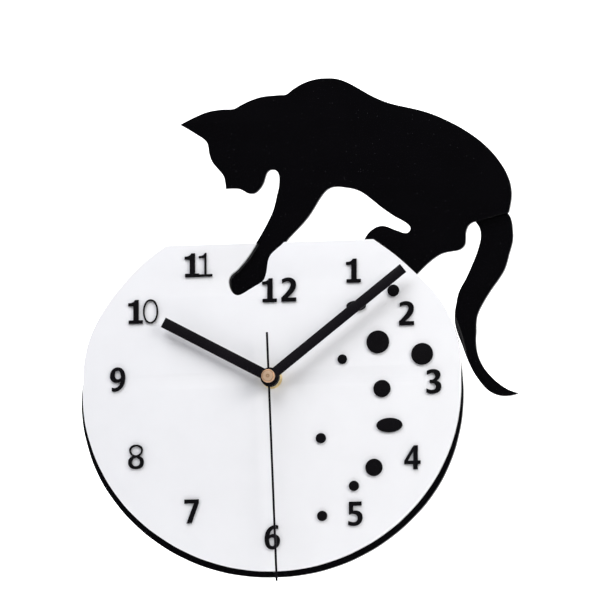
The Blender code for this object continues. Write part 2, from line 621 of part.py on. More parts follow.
def movement_cover():
    """Back cover over the train; its flat back rests on the wall."""
    inner = HALF - CASE_WALL - GAP
    plate = block((-inner, BAY_TOP + CASE_WALL + GAP, 0.0), (inner, inner, 1.0))
    well = rod(KNOB_BODY + 0.5, -1, 3, 24)
    item = place("movement_cover", plate, BLACK_PLASTIC)
    well.transform(Matrix.Translation((KNOB_AT[0] * MM, KNOB_AT[1] * MM, 0)))
    boolean(item, "DIFFERENCE", [well])


def train_plate():
    """White plate inside the cover that carries the rear pivots."""
    inner = HALF - CASE_WALL - GAP
    low = (-inner, BAY_TOP + CASE_WALL + GAP, TRAIN_PLATE_AT)
    plate = block(low, (inner, inner, TRAIN_PLATE_AT + TRAIN_PLATE_SHEET))
    item = place("train_plate", plate, WHITE_PLASTIC)
    holes = []
    for at, radius in ((THIRD_AT, ARBOR), (INTER_AT, ARBOR), (ROTOR_AT, ARBOR),
                       ((0.0, 0.0), SECOND_PIN), (KNOB_AT, KNOB_STEM)):
        hole = rod(radius + 0.1, 0, 5, 12)
        hole.transform(Matrix.Translation((at[0] * MM, at[1] * MM, 0)))
        holes.append(hole)
    boolean(item, "DIFFERENCE", holes)


def bushing_and_fasteners():
    """The brass bushing holds the case, hanger, plates and washers together with one nut."""
    flange = CASE_DEPTH - CASE_WALL - GAP
    bushing = turned([(BUSHING_RADIUS, BUSHING_FRONT), (BUSHING_RADIUS, flange),
                      (BUSHING_BORE, flange), (BUSHING_BORE, BUSHING_FRONT)], 24)
    place("threaded_bushing", bushing, BRASS)
    bore = BUSHING_RADIUS + GAP
    place("rubber_washer", ring(9.0, bore, RUBBER_BACK, RUBBER_BACK + WASHER_SHEET, 24), RUBBER)
    place("brass_washer", ring(6.1, bore, BRASS_BACK, BRASS_BACK + WASHER_SHEET, 24), BRASS)
    nut = sheet([circle(6.0, 6), circle(bore, 24)], NUT_BACK, NUT_DEPTH)
    place("hex_nut", nut, BRASS)


HANGER_WIDTH = 22.0
HANGER_TOP = 44.0
HANGER_BEND = 31.0
NAIL_AT = (0.0, 38.0)
NAIL_HOLE = 3.0


def hanger_bracket():
    """Steel strip clamped in front of the case, bent back over it to meet the nail."""
    half = HANGER_WIDTH / 2
    curve = bpy.data.curves.new("strip", "CURVE")
    curve.dimensions = "2D"
    curve.fill_mode = "BOTH"
    curve.extrude = half * MM
    front, thick = HANGER_BACK + HANGER_SHEET, HANGER_SHEET
    side = [(-HALF / 2, HANGER_BACK), (-HALF / 2, front), (HANGER_BEND + thick, front),
            (HANGER_BEND + thick, 1.0 + thick), (HANGER_TOP, 1.0 + thick), (HANGER_TOP, 1.0),
            (HANGER_BEND, 1.0), (HANGER_BEND, HANGER_BACK)]
    add_spline(curve, side)
    mesh = evaluated_mesh(bpy.data.objects.new("strip", curve))
    mesh.transform(Matrix(((0, 0, 1, 0), (1, 0, 0, 0), (0, 1, 0, 0), (0, 0, 0, 1))))
    item = place("hanger_bracket", mesh, STEEL)
    bushing_hole = rod(BUSHING_RADIUS + GAP, 10, 20, 24)
    nail_hole = rod(NAIL_HOLE, -1, 4, 16)
    nail_hole.transform(Matrix.Translation((NAIL_AT[0] * MM, NAIL_AT[1] * MM, 0)))
    boolean(item, "DIFFERENCE", [bushing_hole, nail_hole])


STATOR_SHEET = 0.7
STATOR_AT = 9.0
COIL_LENGTH = 17.0
COIL_CHEEK = 0.8


def stepping_motor():
    """The stator round the rotor, and the coil that drives it."""
    x, y = ROTOR_AT
    yoke = [(x - 4.6, y - 4.2), (x + 4.6, y - 4.2), (x + 4.6, y + 4.2), (x + 4.6, 24.4),
            (x - 11.0, 24.4), (x - 11.0, y + 6.0), (x - 8.4, y + 6.0), (x - 8.4, 19.8),
            (x - 1.0, 19.8), (x - 1.0, y + 4.2), (x - 4.6, y + 4.2)]
    hole = circle(ROTOR_MAGNET + STATOR_GAP, 20, ROTOR_AT)
    place("stator", sheet([yoke, hole], STATOR_AT, STATOR_SHEET), STEEL)
    bobbin_x = x + 11.0
    half = COIL_LENGTH / 2
    cheek = half - COIL_CHEEK
    spool = [(2.8, half), (2.8, cheek), (1.4, cheek), (1.4, -cheek), (2.8, -cheek), (2.8, -half),
             (0.6, -half), (0.6, half)]
    centre = (bobbin_x, 21.6, 6.0)
    place("coil_bobbin", across(turned(spool, 16), centre), WHITE_PLASTIC)
    winding = across(ring(2.6, 1.7, GAP - cheek, cheek - GAP, 20), centre)
    place("coil_winding", winding, COPPER)


def circuit_board():
    place("circuit_board", block((13.0, 12.5, 4.0), (25.5, 17.6, 5.0)), BOARD_GREEN)


def cell(name, radius, length, centre, button=2.2):
    """A round dry cell lying along x with its button at the right end."""
    half = length / 2
    mesh = turned([(0, half), (button, half), (button, half - 1.2), (radius - 0.6, half - 1.2),
                   (radius, half - 1.8), (radius, 0.6 - half), (radius - 0.6, -half),
                   (0, -half)], 24)
    place(name, across(mesh, centre), CELL_WRAP)


CONTACT_SHEET = 0.4
CONTACT_HALF = 3.0


def contact(name, x, low, high):
    """A thin spring-steel blade that stands at one end of a cell."""
    place(name, block((x, *low), (x + CONTACT_SHEET, *high)), STEEL)


def movement_power():
    _, y, h = CELL_AT
    cell("aa_cell", CELL_RADIUS, CELL_LENGTH, CELL_AT)
    edge = CELL_LENGTH / 2 + 2 * GAP
    low, high = (y - CONTACT_HALF, h - CONTACT_HALF), (y + CONTACT_HALF, h + CONTACT_HALF)
    contact("contact_positive", edge, low, high)
    contact("contact_negative", -edge - CONTACT_SHEET, low, high)


# ---------------------------------------------------------------- hands

def hand_blade(length, width, counter, hub, bore, back, degrees):
    """A flat straight hand with a square end and a round hub, turned to its angle."""
    half = width / 2
    meet = math.degrees(math.asin(half / hub))
    outline = [(half, length), (-half, length)]
    outline += arc(hub, 90 + meet, 270 - meet, 10)
    if counter:
        outline += [(-half, -counter), (half, -counter)]
    outline += arc(hub, -90 + meet, 90 - meet, 10)
    turn = Matrix.Rotation(-math.radians(degrees), 4, "Z")
    mesh = sheet([outline, circle(bore, 16)], back, HAND_SHEET)
    mesh.transform(turn)
    return mesh


def hands():
    fit = 0.15
    place("hour_hand", hand_blade(*HOUR_HAND, 0, HOUR_HUB, HOUR_PIPE + fit, HOUR_HAND_BACK,
                                  HOUR_ANGLE), SATIN_BLACK)
    place("minute_hand", hand_blade(*MINUTE_HAND, 0, MINUTE_HUB, MINUTE_PIPE + fit,
                                    MINUTE_HAND_BACK, MINUTE_ANGLE), SATIN_BLACK)
    place("second_hand", hand_blade(*SECOND_HAND, SECOND_COUNTER, SECOND_HUB, SECOND_PIN + fit,
                                    SECOND_HAND_BACK, SECOND_ANGLE), SATIN_BLACK)
    back = SECOND_HAND_BACK + HAND_SHEET + GAP
    well = SECOND_PIN + fit
    cap = turned([(0, back + CAP_DEPTH), (2.6, back + CAP_DEPTH), (3.6, back + CAP_DEPTH - 0.5),
                  (4.0, back + CAP_DEPTH - 1.2), (4.0, back), (well, back), (well, back + 1.5),
                  (0, back + 1.5)], 32)
    place("second_hand_cap", cap, COPPER)


# ---------------------------------------------------------------- the swing module

SWING_CELL_AT = (100.5, 123.8, 6.8)
SWING_CELL_RADIUS, SWING_CELL_LENGTH = 5.1, 43.5
SWING_ARM_DROP = 10.3
SWING_MAGNET_DROP = 7.6
SWING_ARM_AT = 9.6


def swing_case():
    """Thin case behind the rump, open at the back, with a round hole for the swing shaft."""
    shell = block((*SWING_LOW, 0.0), (*SWING_HIGH, SWING_DEPTH), 0.6)
    low = [value + SWING_WALL for value in SWING_LOW]
    high = [value - SWING_WALL for value in SWING_HIGH]
    hollow = block((*low, -1.0), (*high, SWING_DEPTH - SWING_WALL))
    hole = rod(SWING_SHAFT + 0.3, 5, 20, 16)
    hole.transform(Matrix.Translation((TAIL_PIVOT[0] * MM, TAIL_PIVOT[1] * MM, 0)))
    boolean(place("swing_case", shell, BLACK_PLASTIC), "DIFFERENCE", [hollow, hole])


def swing_cover():
    reach = SWING_WALL + GAP
    low = [value + reach for value in SWING_LOW]
    high = [value - reach for value in SWING_HIGH]
    place("swing_cover", block((*low, 0.0), (*high, 1.0)), BLACK_PLASTIC)


def swing_drive():
    """The coil under the pivot, and the cell that feeds it."""
    x, y = TAIL_PIVOT
    place("swing_coil", ring(3.4, 1.2, 2.4, 5.4, 20), COPPER, (x, y - SWING_MAGNET_DROP))
    cell("swing_cell", SWING_CELL_RADIUS, SWING_CELL_LENGTH, SWING_CELL_AT, 1.8)


def swing_arm():
    """The moulded lever and its shaft, which carry the magnet inside and the tail outside."""
    outline = [(-3.2, 3.2), (-3.2, -1.0), (-2.6, -SWING_ARM_DROP), (2.6, -SWING_ARM_DROP),
               (3.2, -1.0), (3.2, 3.2)]
    arm = place("swing_arm", sheet([outline], SWING_ARM_AT, 1.2), WHITE_PLASTIC, TAIL_PIVOT)
    boolean(arm, "UNION", [rod(SWING_SHAFT, 5.0, TAIL_BACK + PLATE - 0.2, 12)])
    magnet = rod(2.2, SWING_ARM_AT - 2.8, SWING_ARM_AT - GAP, 16)
    magnet.transform(Matrix.Translation((0, -SWING_MAGNET_DROP * MM, 0)))
    place("arm_magnet", magnet, STEEL, TAIL_PIVOT)


def adhesive_pads():
    """Foam blocks that hold the swing module to the back of the cat."""
    front = CAT_BACK - GAP
    pads = block((77.0, 99.5, SWING_DEPTH + GAP), (107.0, 128.5, front))
    place("adhesive_pad", pads, FOAM)


# ---------------------------------------------------------------- build

def build():
    cat_back_plate()
    dial_plate()
    cat_tail()
    for hour, centre in NUMERALS.items():
        numeral(hour, centre)
    bubbles()
    second_wheel()
    third_wheel()
    minute_wheel()
    motion_phase = motion_wheel()
    hour_wheel()
    intermediate_wheel()
    rotor()
    setting_knob(motion_phase)
    movement_case()
    movement_cover()
    train_plate()
    bushing_and_fasteners()
    hanger_bracket()
    stepping_motor()
    circuit_board()
    movement_power()
    hands()
    swing_case()
    swing_cover()
    swing_drive()
    swing_arm()
    adhesive_pads()


build()
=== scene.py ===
"""Looks of the cat tail clock.

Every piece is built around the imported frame: outlines, depths and axes are read from it. Sheet
parts are cut again with smooth outlines and polished edges, turned parts are turned again with
their grooves, moulded parts get rounded edges, and every part gets its own finish.

World space is in metres. The wall is the plane y = 0 and the front of the clock faces -Y, so the
depth of a part out of the wall is -y.
"""

from __future__ import annotations

import json
import logging
import math
from collections.abc import Callable, Sequence
from dataclasses import dataclass
from enum import Enum

import bmesh
import bpy
from mathutils import Matrix, Vector

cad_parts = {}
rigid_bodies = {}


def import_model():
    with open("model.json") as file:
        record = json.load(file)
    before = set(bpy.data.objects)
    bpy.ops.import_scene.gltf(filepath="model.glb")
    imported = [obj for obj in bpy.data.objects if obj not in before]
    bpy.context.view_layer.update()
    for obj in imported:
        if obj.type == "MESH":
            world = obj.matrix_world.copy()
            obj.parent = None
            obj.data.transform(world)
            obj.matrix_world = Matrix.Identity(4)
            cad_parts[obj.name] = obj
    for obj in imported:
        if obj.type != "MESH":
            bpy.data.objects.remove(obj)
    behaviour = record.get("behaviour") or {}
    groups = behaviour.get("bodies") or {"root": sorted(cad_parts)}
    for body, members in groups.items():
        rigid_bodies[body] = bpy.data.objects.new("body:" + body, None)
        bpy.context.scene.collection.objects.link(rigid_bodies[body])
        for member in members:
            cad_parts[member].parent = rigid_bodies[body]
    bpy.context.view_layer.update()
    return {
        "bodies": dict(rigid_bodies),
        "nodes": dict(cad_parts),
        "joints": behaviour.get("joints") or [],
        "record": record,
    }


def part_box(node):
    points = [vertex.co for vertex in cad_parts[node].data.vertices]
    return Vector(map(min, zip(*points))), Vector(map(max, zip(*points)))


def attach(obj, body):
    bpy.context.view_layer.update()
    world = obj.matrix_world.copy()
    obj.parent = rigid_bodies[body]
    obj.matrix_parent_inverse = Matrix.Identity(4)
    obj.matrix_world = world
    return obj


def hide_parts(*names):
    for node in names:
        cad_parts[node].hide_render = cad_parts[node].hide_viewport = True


LOG = logging.getLogger("cat_tail_clock")
MM = 0.001
WELD = 0.001 * MM               # points nearer than this are the same one
WELD_SHEET = 0.002 * MM
SHADE_DEG = 32.0                # a fold sharper than this shows as an edge
BEVEL_DEG = 40.0                # and one sharper than this gets rounded
GRID_WIDE, GRID_HIGH = 66, 100  # the grid that the figures are drawn on
GRID_ASPECT = 0.15 / 0.144      # width of a grid step over its height
Outline = list[tuple[float, float]]


class Body(Enum):
    """The rigid bodies of the clock, by their names in the frame."""

    CLOCK = "clock_body"
    HOUR = "hour_hand_group"
    MINUTE = "minute_hand_group"
    SECOND = "second_hand_group"
    KNOB = "setting_knob_group"
    TAIL = "tail_group"


class Slot(Enum):
    """The record's material slots."""

    BLACK_ACRYLIC = "black_acrylic"
    WHITE_ACRYLIC = "white_acrylic"
    HAND_BLACK = "hand_black"
    BLACK_PLASTIC = "black_plastic"
    WHITE_PLASTIC = "white_plastic"
    BRASS = "brass"
    STEEL = "steel"
    COPPER = "copper"
    RUBBER = "rubber"
    BOARD = "board"
    CELL_WRAP = "cell_wrap"
    FOAM = "foam"


# ------------------------------------------------------------------ shader node groups

class ShaderGroup:
    """A shader node group with named inputs and outputs, filled in by a subclass."""

    name = "group"
    inputs: tuple[tuple[str, float], ...] = ()
    output = "Value"

    def __init__(self) -> None:
        """Builds the group once."""
        self.tree = bpy.data.node_groups.new(self.name, "ShaderNodeTree")
        face = self.tree.interface
        for label, value in self.inputs:
            socket = face.new_socket(name=label, in_out="INPUT", socket_type="NodeSocketFloat")
            socket.default_value = value
        face.new_socket(name=self.output, in_out="OUTPUT", socket_type="NodeSocketFloat")
        self.entry = self.tree.nodes.new("NodeGroupInput")
        self.exit = self.tree.nodes.new("NodeGroupOutput")
        self.fill()

    def fill(self) -> None:
        """Adds the nodes between the group's inputs and its output."""

    def node(self, kind: str, **settings: object) -> bpy.types.Node:
        """Adds a node and sets its properties.

        Args:
            kind: The node's type name.
            settings: Properties of the node by name.

        Returns:
            The new node.
        """
        made = self.tree.nodes.new(kind)
        for key, value in settings.items():
            setattr(made, key, value)
        return made

    def link(self, source: bpy.types.NodeSocket, target: bpy.types.NodeSocket) -> None:
        """Joins two sockets."""
        self.tree.links.new(source, target)

    def math(self, operation: str, first: object, second: object) -> bpy.types.NodeSocket:
        """Adds a math node fed by sockets or plain numbers.

        Args:
            operation: The operation's name.
            first: A socket or a number.
            second: A socket or a number.

        Returns:
            The node's output socket.
        """
        made = self.node("ShaderNodeMath", operation=operation)
        for number, value in enumerate((first, second)):
            if isinstance(value, bpy.types.NodeSocket):
                self.link(value, made.inputs[number])
            else:
                made.inputs[number].default_value = value
        return made.outputs[0]


class DustSpecks(ShaderGroup):
    """Small scattered specks: one where they lie, nought elsewhere."""

    name = "dust_specks"
    inputs = (("Scale", 900.0), ("Size", 0.16), ("Share", 0.2))
    output = "Mask"

    def fill(self) -> None:
        """Picks a share of the cells of a point pattern and marks their middles."""
        place = self.node("ShaderNodeTexCoord")
        cells = self.node("ShaderNodeTexVoronoi", feature="F1")
        self.link(place.outputs["Object"], cells.inputs["Vector"])
        self.link(self.entry.outputs["Scale"], cells.inputs["Scale"])
        near = self.math("LESS_THAN", cells.outputs["Distance"], self.entry.outputs["Size"])
        tone = self.node("ShaderNodeSeparateColor")
        self.link(cells.outputs["Color"], tone.inputs["Color"])
        chosen = self.math("LESS_THAN", tone.outputs["Red"], self.entry.outputs["Share"])
        both = self.math("MULTIPLY", near, chosen)
        faint = self.math("MULTIPLY", both, tone.outputs["Green"])
        self.link(faint, self.exit.inputs["Mask"])


class SoftMottle(ShaderGroup):
    """A slow variation between two values, as from handling and wiping."""

    name = "soft_mottle"
    inputs = (("Scale", 30.0), ("Low", 0.05), ("High", 0.1))
    noise_range = (0.32, 0.68)

    def fill(self) -> None:
        """Spreads a soft noise between the low and the high value."""
        place = self.node("ShaderNodeTexCoord")
        noise = self.node("ShaderNodeTexNoise")
        noise.inputs["Detail"].default_value = 4.0
        self.link(place.outputs["Object"], noise.inputs["Vector"])
        self.link(self.entry.outputs["Scale"], noise.inputs["Scale"])
        spread = self.node("ShaderNodeMapRange", interpolation_type="SMOOTHSTEP")
        for label, value in zip(("From Min", "From Max"), self.noise_range):
            spread.inputs[label].default_value = value
        self.link(noise.outputs[0], spread.inputs["Value"])
        self.link(self.entry.outputs["Low"], spread.inputs["To Min"])
        self.link(self.entry.outputs["High"], spread.inputs["To Max"])
        self.link(spread.outputs["Result"], self.exit.inputs["Value"])


class FineGrain(ShaderGroup):
    """A fine even grain, as on moulded plastic or foam."""

    name = "fine_grain"
    inputs = (("Scale", 4000.0), ("Contrast", 1.0))
    output = "Height"

    def fill(self) -> None:
        """Mixes two sizes of noise into one height."""
        place = self.node("ShaderNodeTexCoord")
        fine = self.node("ShaderNodeTexNoise")
        coarse = self.node("ShaderNodeTexVoronoi", feature="SMOOTH_F1")
        for texture in (fine, coarse):
            self.link(place.outputs["Object"], texture.inputs["Vector"])
            self.link(self.entry.outputs["Scale"], texture.inputs["Scale"])
        total = self.math("ADD", fine.outputs[0], coarse.outputs["Distance"])
        self.link(self.math("MULTIPLY", total, self.entry.outputs["Contrast"]),
                  self.exit.inputs["Height"])


class TurnedRings(ShaderGroup):
    """Concentric rings round an axis that runs out of the wall: tool marks where they feed a
    relief, painted reflection rings where they darken a colour.
    """

    name = "turned_rings"
    inputs = (("Pitch", 0.0002), ("Centre X", 0.0), ("Centre Z", 0.0))
    output = "Height"

    def fill(self) -> None:
        """Turns the distance from the axis into a wave."""
        place = self.node("ShaderNodeTexCoord")
        parts = self.node("ShaderNodeSeparateXYZ")
        self.link(place.outputs["Object"], parts.inputs[0])
        across = self.math("SUBTRACT", parts.outputs["X"], self.entry.outputs["Centre X"])
        along = self.math("SUBTRACT", parts.outputs["Z"], self.entry.outputs["Centre Z"])
        squares = self.math("ADD", self.math("MULTIPLY", across, across),
                            self.math("MULTIPLY", along, along))
        radius = self.math("SQRT", squares, 0.0)
        turns = self.math("DIVIDE", radius, self.entry.outputs["Pitch"])
        wave = self.math("SINE", self.math("MULTIPLY", turns, 2 * math.pi), 0.0)
        self.link(wave, self.exit.inputs["Height"])


class BrushedLines(ShaderGroup):
    """Fine scratches that run one way along the sheet."""

    name = "brushed_lines"
    inputs = (("Scale", 900.0), ("Stretch", 0.03), ("Turn", 0.0))
    output = "Height"

    def fill(self) -> None:
        """Stretches a noise along one direction after turning it about the wall's normal."""
        place = self.node("ShaderNodeTexCoord")
        turn = self.node("ShaderNodeVectorRotate", rotation_type="Y_AXIS")
        self.link(place.outputs["Object"], turn.inputs["Vector"])
        self.link(self.entry.outputs["Turn"], turn.inputs["Angle"])
        parts = self.node("ShaderNodeSeparateXYZ")
        self.link(turn.outputs[0], parts.inputs[0])
        long = self.math("MULTIPLY", parts.outputs["Z"], self.entry.outputs["Stretch"])
        joined = self.node("ShaderNodeCombineXYZ")
        self.link(parts.outputs["X"], joined.inputs["X"])
        self.link(parts.outputs["Y"], joined.inputs["Y"])
        self.link(long, joined.inputs["Z"])
        noise = self.node("ShaderNodeTexNoise")
        noise.inputs["Detail"].default_value = 3.0
        self.link(joined.outputs[0], noise.inputs["Vector"])
        self.link(self.entry.outputs["Scale"], noise.inputs["Scale"])
        self.link(noise.outputs[0], self.exit.inputs["Height"])


class GroupShelf:
    """Keeps one copy of each shader group and places it in materials."""

    def __init__(self) -> None:
        """Builds every group."""
        kinds = (DustSpecks, SoftMottle, FineGrain, TurnedRings, BrushedLines)
        self.trees = {kind.name: kind().tree for kind in kinds}

    def place(self, material: bpy.types.Material, name: str,
              **values: float) -> bpy.types.NodeSocket:
        """Puts a group in a material.

        Args:
            material: The material that uses the group.
            name: The group's name.
            values: Input values, with underscores for spaces.

        Returns:
            The group's output socket.
        """
        node = material.node_tree.nodes.new("ShaderNodeGroup")
        node.node_tree = self.trees[name]
        for key, value in values.items():
            node.inputs[key.replace("_", " ")].default_value = value
        return node.outputs[0]


# ------------------------------------------------------------------ finishes

Colour = tuple[float, float, float]


@dataclass(frozen=True)
class Finish:
    """What every finish shares: a colour, a shine and the slow mottling of both."""

    name: str
    colour: Colour
    low: float = 0.3
    high: float = 0.4
    metallic: float = 0.0
    mottle: float = 25.0
    tint: float = 0.85

    def make(self, shelf: GroupShelf) -> bpy.types.Material:
        """Builds the material.

        Args:
            shelf: The shared shader groups.

        Returns:
            The finished material.
        """
        material = bpy.data.materials.new(self.name)
        material.use_nodes = True
        shader = material.node_tree.nodes["Principled BSDF"]
        shader.inputs["Metallic"].default_value = self.metallic
        links = material.node_tree.links
        rough = shelf.place(material, "soft_mottle", Scale=self.mottle, Low=self.low,
                            High=self.high)
        links.new(rough, shader.inputs["Roughness"])
        worn = shelf.place(material, "soft_mottle", Scale=self.mottle * 2.3, Low=0.0, High=1.0)
        dark = tuple(channel * self.tint for channel in self.colour)
        colour = self.mix(material, worn, dark, self.colour)
        colour = self.decorate(material, shelf, colour)
        links.new(colour, shader.inputs["Base Color"])
        self.relief(material, shelf)
        return material

    def mix(self, material: bpy.types.Material, mask: bpy.types.NodeSocket,
            first: Colour | bpy.types.NodeSocket,
            second: Colour | bpy.types.NodeSocket) -> bpy.types.NodeSocket:
        """Mixes two colours by a mask.

        Args:
            material: The material that gets the node.
            mask: Nought for the first colour and one for the second.
            first: A colour or a socket.
            second: A colour or a socket.

        Returns:
            The mixed colour's socket.
        """
        node = material.node_tree.nodes.new("ShaderNodeMix")
        node.data_type = "RGBA"
        material.node_tree.links.new(mask, node.inputs["Factor"])
        for socket, value in ((node.inputs[6], first), (node.inputs[7], second)):
            if isinstance(value, bpy.types.NodeSocket):
                material.node_tree.links.new(value, socket)
            else:
                socket.default_value = (*value, 1.0)
        return node.outputs[2]

    def decorate(self, material: bpy.types.Material, shelf: GroupShelf,
                 colour: bpy.types.NodeSocket) -> bpy.types.NodeSocket:
        """Adds what lies in or on the colour; a plain finish adds nothing."""
        return colour

    def relief(self, material: bpy.types.Material, shelf: GroupShelf) -> None:
        """Adds the surface relief; a plain finish has none."""

    def bump(self, material: bpy.types.Material, height: bpy.types.NodeSocket,
             strength: float, depth: float) -> None:
        """Feeds a height to the surface normal.

        Args:
            material: The material to change.
            height: The socket that gives the height.
            strength: How much of the relief shows.
            depth: The relief's depth in metres.
        """
        node = material.node_tree.nodes.new("ShaderNodeBump")
        node.inputs["Strength"].default_value = strength
        node.inputs["Distance"].default_value = depth
        links = material.node_tree.links
        links.new(height, node.inputs["Height"])
        shader = material.node_tree.nodes["Principled BSDF"]
        links.new(node.outputs[0], shader.inputs["Normal"])


@dataclass(frozen=True)
class AcrylicFinish(Finish):
    """Polished acrylic sheet, with a little dust on it."""

    dust: Colour = (0.11, 0.11, 0.12)
    dust_share: float = 0.10
    speck_sizes: tuple[tuple[float, float], ...] = ((330.0, 0.055), (700.0, 0.09))

    def decorate(self, material: bpy.types.Material, shelf: GroupShelf,
                 colour: bpy.types.NodeSocket) -> bpy.types.NodeSocket:
        """Scatters dust specks of two sizes on the sheet.

        Args:
            material: The material being built.
            shelf: The shared shader groups.
            colour: The colour so far.

        Returns:
            The new colour's socket.
        """
        for scale, size in self.speck_sizes:
            mask = shelf.place(material, "dust_specks", Scale=scale, Size=size,
                               Share=self.dust_share)
            colour = self.mix(material, mask, colour, self.dust)
        return colour


@dataclass(frozen=True)
class MouldedFinish(Finish):
    """Moulded plastic, rubber or foam with a fine grain."""

    grain: float = 3500.0
    depth: float = 0.00004

    def relief(self, material: bpy.types.Material, shelf: GroupShelf) -> None:
        """Gives the surface its grain."""
        height = shelf.place(material, "fine_grain", Scale=self.grain)
        self.bump(material, height, 0.35, self.depth)


@dataclass(frozen=True)
class TurnedFinish(Finish):
    """Metal with the rings of a lathe round the hands' axis: fine rings cut as relief, and broad
    darker rings painted into its colour as painted reflection.
    """

    pitch: float = 0.00042
    depth: float = 0.00003
    # band and the darker colour below set the painted reflection rings: their pitch and how far
    # they darken the colour
    band: float = 0.0028
    shade: Colour = (0.62, 0.5, 0.42)

    def decorate(self, material: bpy.types.Material, shelf: GroupShelf,
                 colour: bpy.types.NodeSocket) -> bpy.types.NodeSocket:
        """Paints broad darker rings into the colour: painted reflection, standing in for the
        light that spun metal catches in rings.

        Args:
            material: The material being built.
            shelf: The shared shader groups.
            colour: The colour so far.

        Returns:
            The new colour's socket.
        """
        mask = shelf.place(material, "turned_rings", Pitch=self.band)
        dark = tuple(channel * share for channel, share in zip(self.colour, self.shade))
        return self.mix(material, mask, colour, dark)

    def relief(self, material: bpy.types.Material, shelf: GroupShelf) -> None:
        """Cuts the rings."""
        height = shelf.place(material, "turned_rings", Pitch=self.pitch)
        self.bump(material, height, 0.6, self.depth)


@dataclass(frozen=True)
class BrushedFinish(Finish):
    """Sheet metal or enamel with fine lines along it."""

    scale: float = 1400.0
    turn: float = 0.0
    depth: float = 0.00003

    def relief(self, material: bpy.types.Material, shelf: GroupShelf) -> None:
        """Draws the lines."""
        height = shelf.place(material, "brushed_lines", Scale=self.scale, Turn=self.turn)
        self.bump(material, height, 0.3, self.depth)


@dataclass(frozen=True)
class CellFinish(Finish):
    """Printed film round a dry cell, with a copper band at its button end."""

    band: Colour = (0.62, 0.33, 0.14)
    band_from: float = 0.0

    def decorate(self, material: bpy.types.Material, shelf: GroupShelf,
                 colour: bpy.types.NodeSocket) -> bpy.types.NodeSocket:
        """Paints the band over the film from one x onwards.

        Args:
            material: The material being built.
            shelf: The shared shader groups; not used.
            colour: The colour so far.

        Returns:
            The new colour's socket.
        """
        nodes, links = material.node_tree.nodes, material.node_tree.links
        place = nodes.new("ShaderNodeTexCoord")
        parts = nodes.new("ShaderNodeSeparateXYZ")
        links.new(place.outputs["Object"], parts.inputs[0])
        past = nodes.new("ShaderNodeMath")
        past.operation = "GREATER_THAN"
        past.inputs[1].default_value = self.band_from
        links.new(parts.outputs["X"], past.inputs[0])
        return self.mix(material, past.outputs[0], colour, self.band)


class Palette:
    """All the finishes of the clock, made once."""

    def __init__(self) -> None:
        """Builds the shader groups; each material is built when first asked for."""
        self.shelf = GroupShelf()
        self.made: dict[str, bpy.types.Material] = {}

    def get(self, finish: Finish) -> bpy.types.Material:
        """Looks a finish up and builds its material the first time.

        Args:
            finish: The finish.

        Returns:
            Its material.
        """
        if finish.name not in self.made:
            self.made[finish.name] = finish.make(self.shelf)
        return self.made[finish.name]


BLACK_SHEET = AcrylicFinish("black_acrylic_sheet", (0.0018, 0.0016, 0.0022), 0.05, 0.085,
                            dust=(0.16, 0.16, 0.18), dust_share=0.13)
WHITE_SHEET = AcrylicFinish("white_acrylic_sheet", (0.86, 0.862, 0.885), 0.10, 0.16, tint=0.985,
                            dust=(0.55, 0.53, 0.5), dust_share=0.035)
INLAY_BLACK = AcrylicFinish("black_acrylic_inlay", (0.0055, 0.0050, 0.0060), 0.07, 0.12,
                            dust_share=0.06)
HAND_ENAMEL = BrushedFinish("satin_black_enamel", (0.0055, 0.0045, 0.0065), 0.20, 0.26,
                            depth=0.00001)
CASE_PLASTIC = MouldedFinish("black_moulded_plastic", (0.018, 0.018, 0.019), 0.42, 0.55)
WHEEL_PLASTIC = MouldedFinish("white_moulded_plastic", (0.72, 0.72, 0.68), 0.38, 0.48,
                              tint=0.94)
# Both turned finishes paint broad darker rings into their colour: painted reflection of turned
# metal, not its own colour
CAP_COPPER = TurnedFinish("turned_copper_cap", (0.90, 0.64, 0.44), 0.36, 0.42, 0.7,
                          pitch=0.00055, depth=0.00003)
NUT_BRASS = TurnedFinish("turned_brass", (0.93, 0.77, 0.44), 0.34, 0.44, 0.65, depth=0.00001,
                         shade=(0.85, 0.8, 0.7))
WHEEL_BRASS = BrushedFinish("pressed_brass", (0.74, 0.52, 0.2), 0.28, 0.38, 1.0)
PLAIN_STEEL = BrushedFinish("plain_steel", (0.5, 0.5, 0.51), 0.26, 0.4, 1.0)
WIRE_COPPER = Finish("enamelled_copper_wire", (0.55, 0.2, 0.07), 0.25, 0.35, 1.0)
SOFT_RUBBER = MouldedFinish("soft_rubber", (0.015, 0.015, 0.015), 0.7, 0.85, grain=2500.0)
BOARD_RESIST = MouldedFinish("green_board", (0.015, 0.11, 0.045), 0.35, 0.5, grain=1800.0)
PAD_FOAM = MouldedFinish("grey_foam", (0.09, 0.09, 0.095), 0.85, 0.95, grain=900.0,
                         depth=0.0004)


# ------------------------------------------------------------------ mesh helpers

def new_object(name: str, mesh: bpy.types.Mesh,
               material: bpy.types.Material | None = None) -> bpy.types.Object:
    """Links a mesh as an object at the origin, shaded smooth with sharp edges kept.

    Args:
        name: The piece's name.
        mesh: Its mesh, in world space.
        material: Its finish.

    Returns:
        The new object.
    """
    mesh.name = name
    if material:
        mesh.materials.clear()
        mesh.materials.append(material)
    mesh.shade_smooth()
    mesh.set_sharp_from_angle(angle=math.radians(SHADE_DEG))
    item = bpy.data.objects.new(name, mesh)
    bpy.context.scene.collection.objects.link(item)
    return item


def settle(item: bpy.types.Object) -> bpy.types.Mesh:
    """Turns an object with its modifiers into a plain mesh and removes the object.

    Args:
        item: The object.

    Returns:
        Its finished mesh in world space.
    """
    bpy.context.view_layer.update()
    ready = item.evaluated_get(bpy.context.evaluated_depsgraph_get())
    mesh = bpy.data.meshes.new_from_object(ready)
    mesh.transform(item.matrix_world)
    bpy.data.objects.remove(item, do_unlink=True)
    return mesh


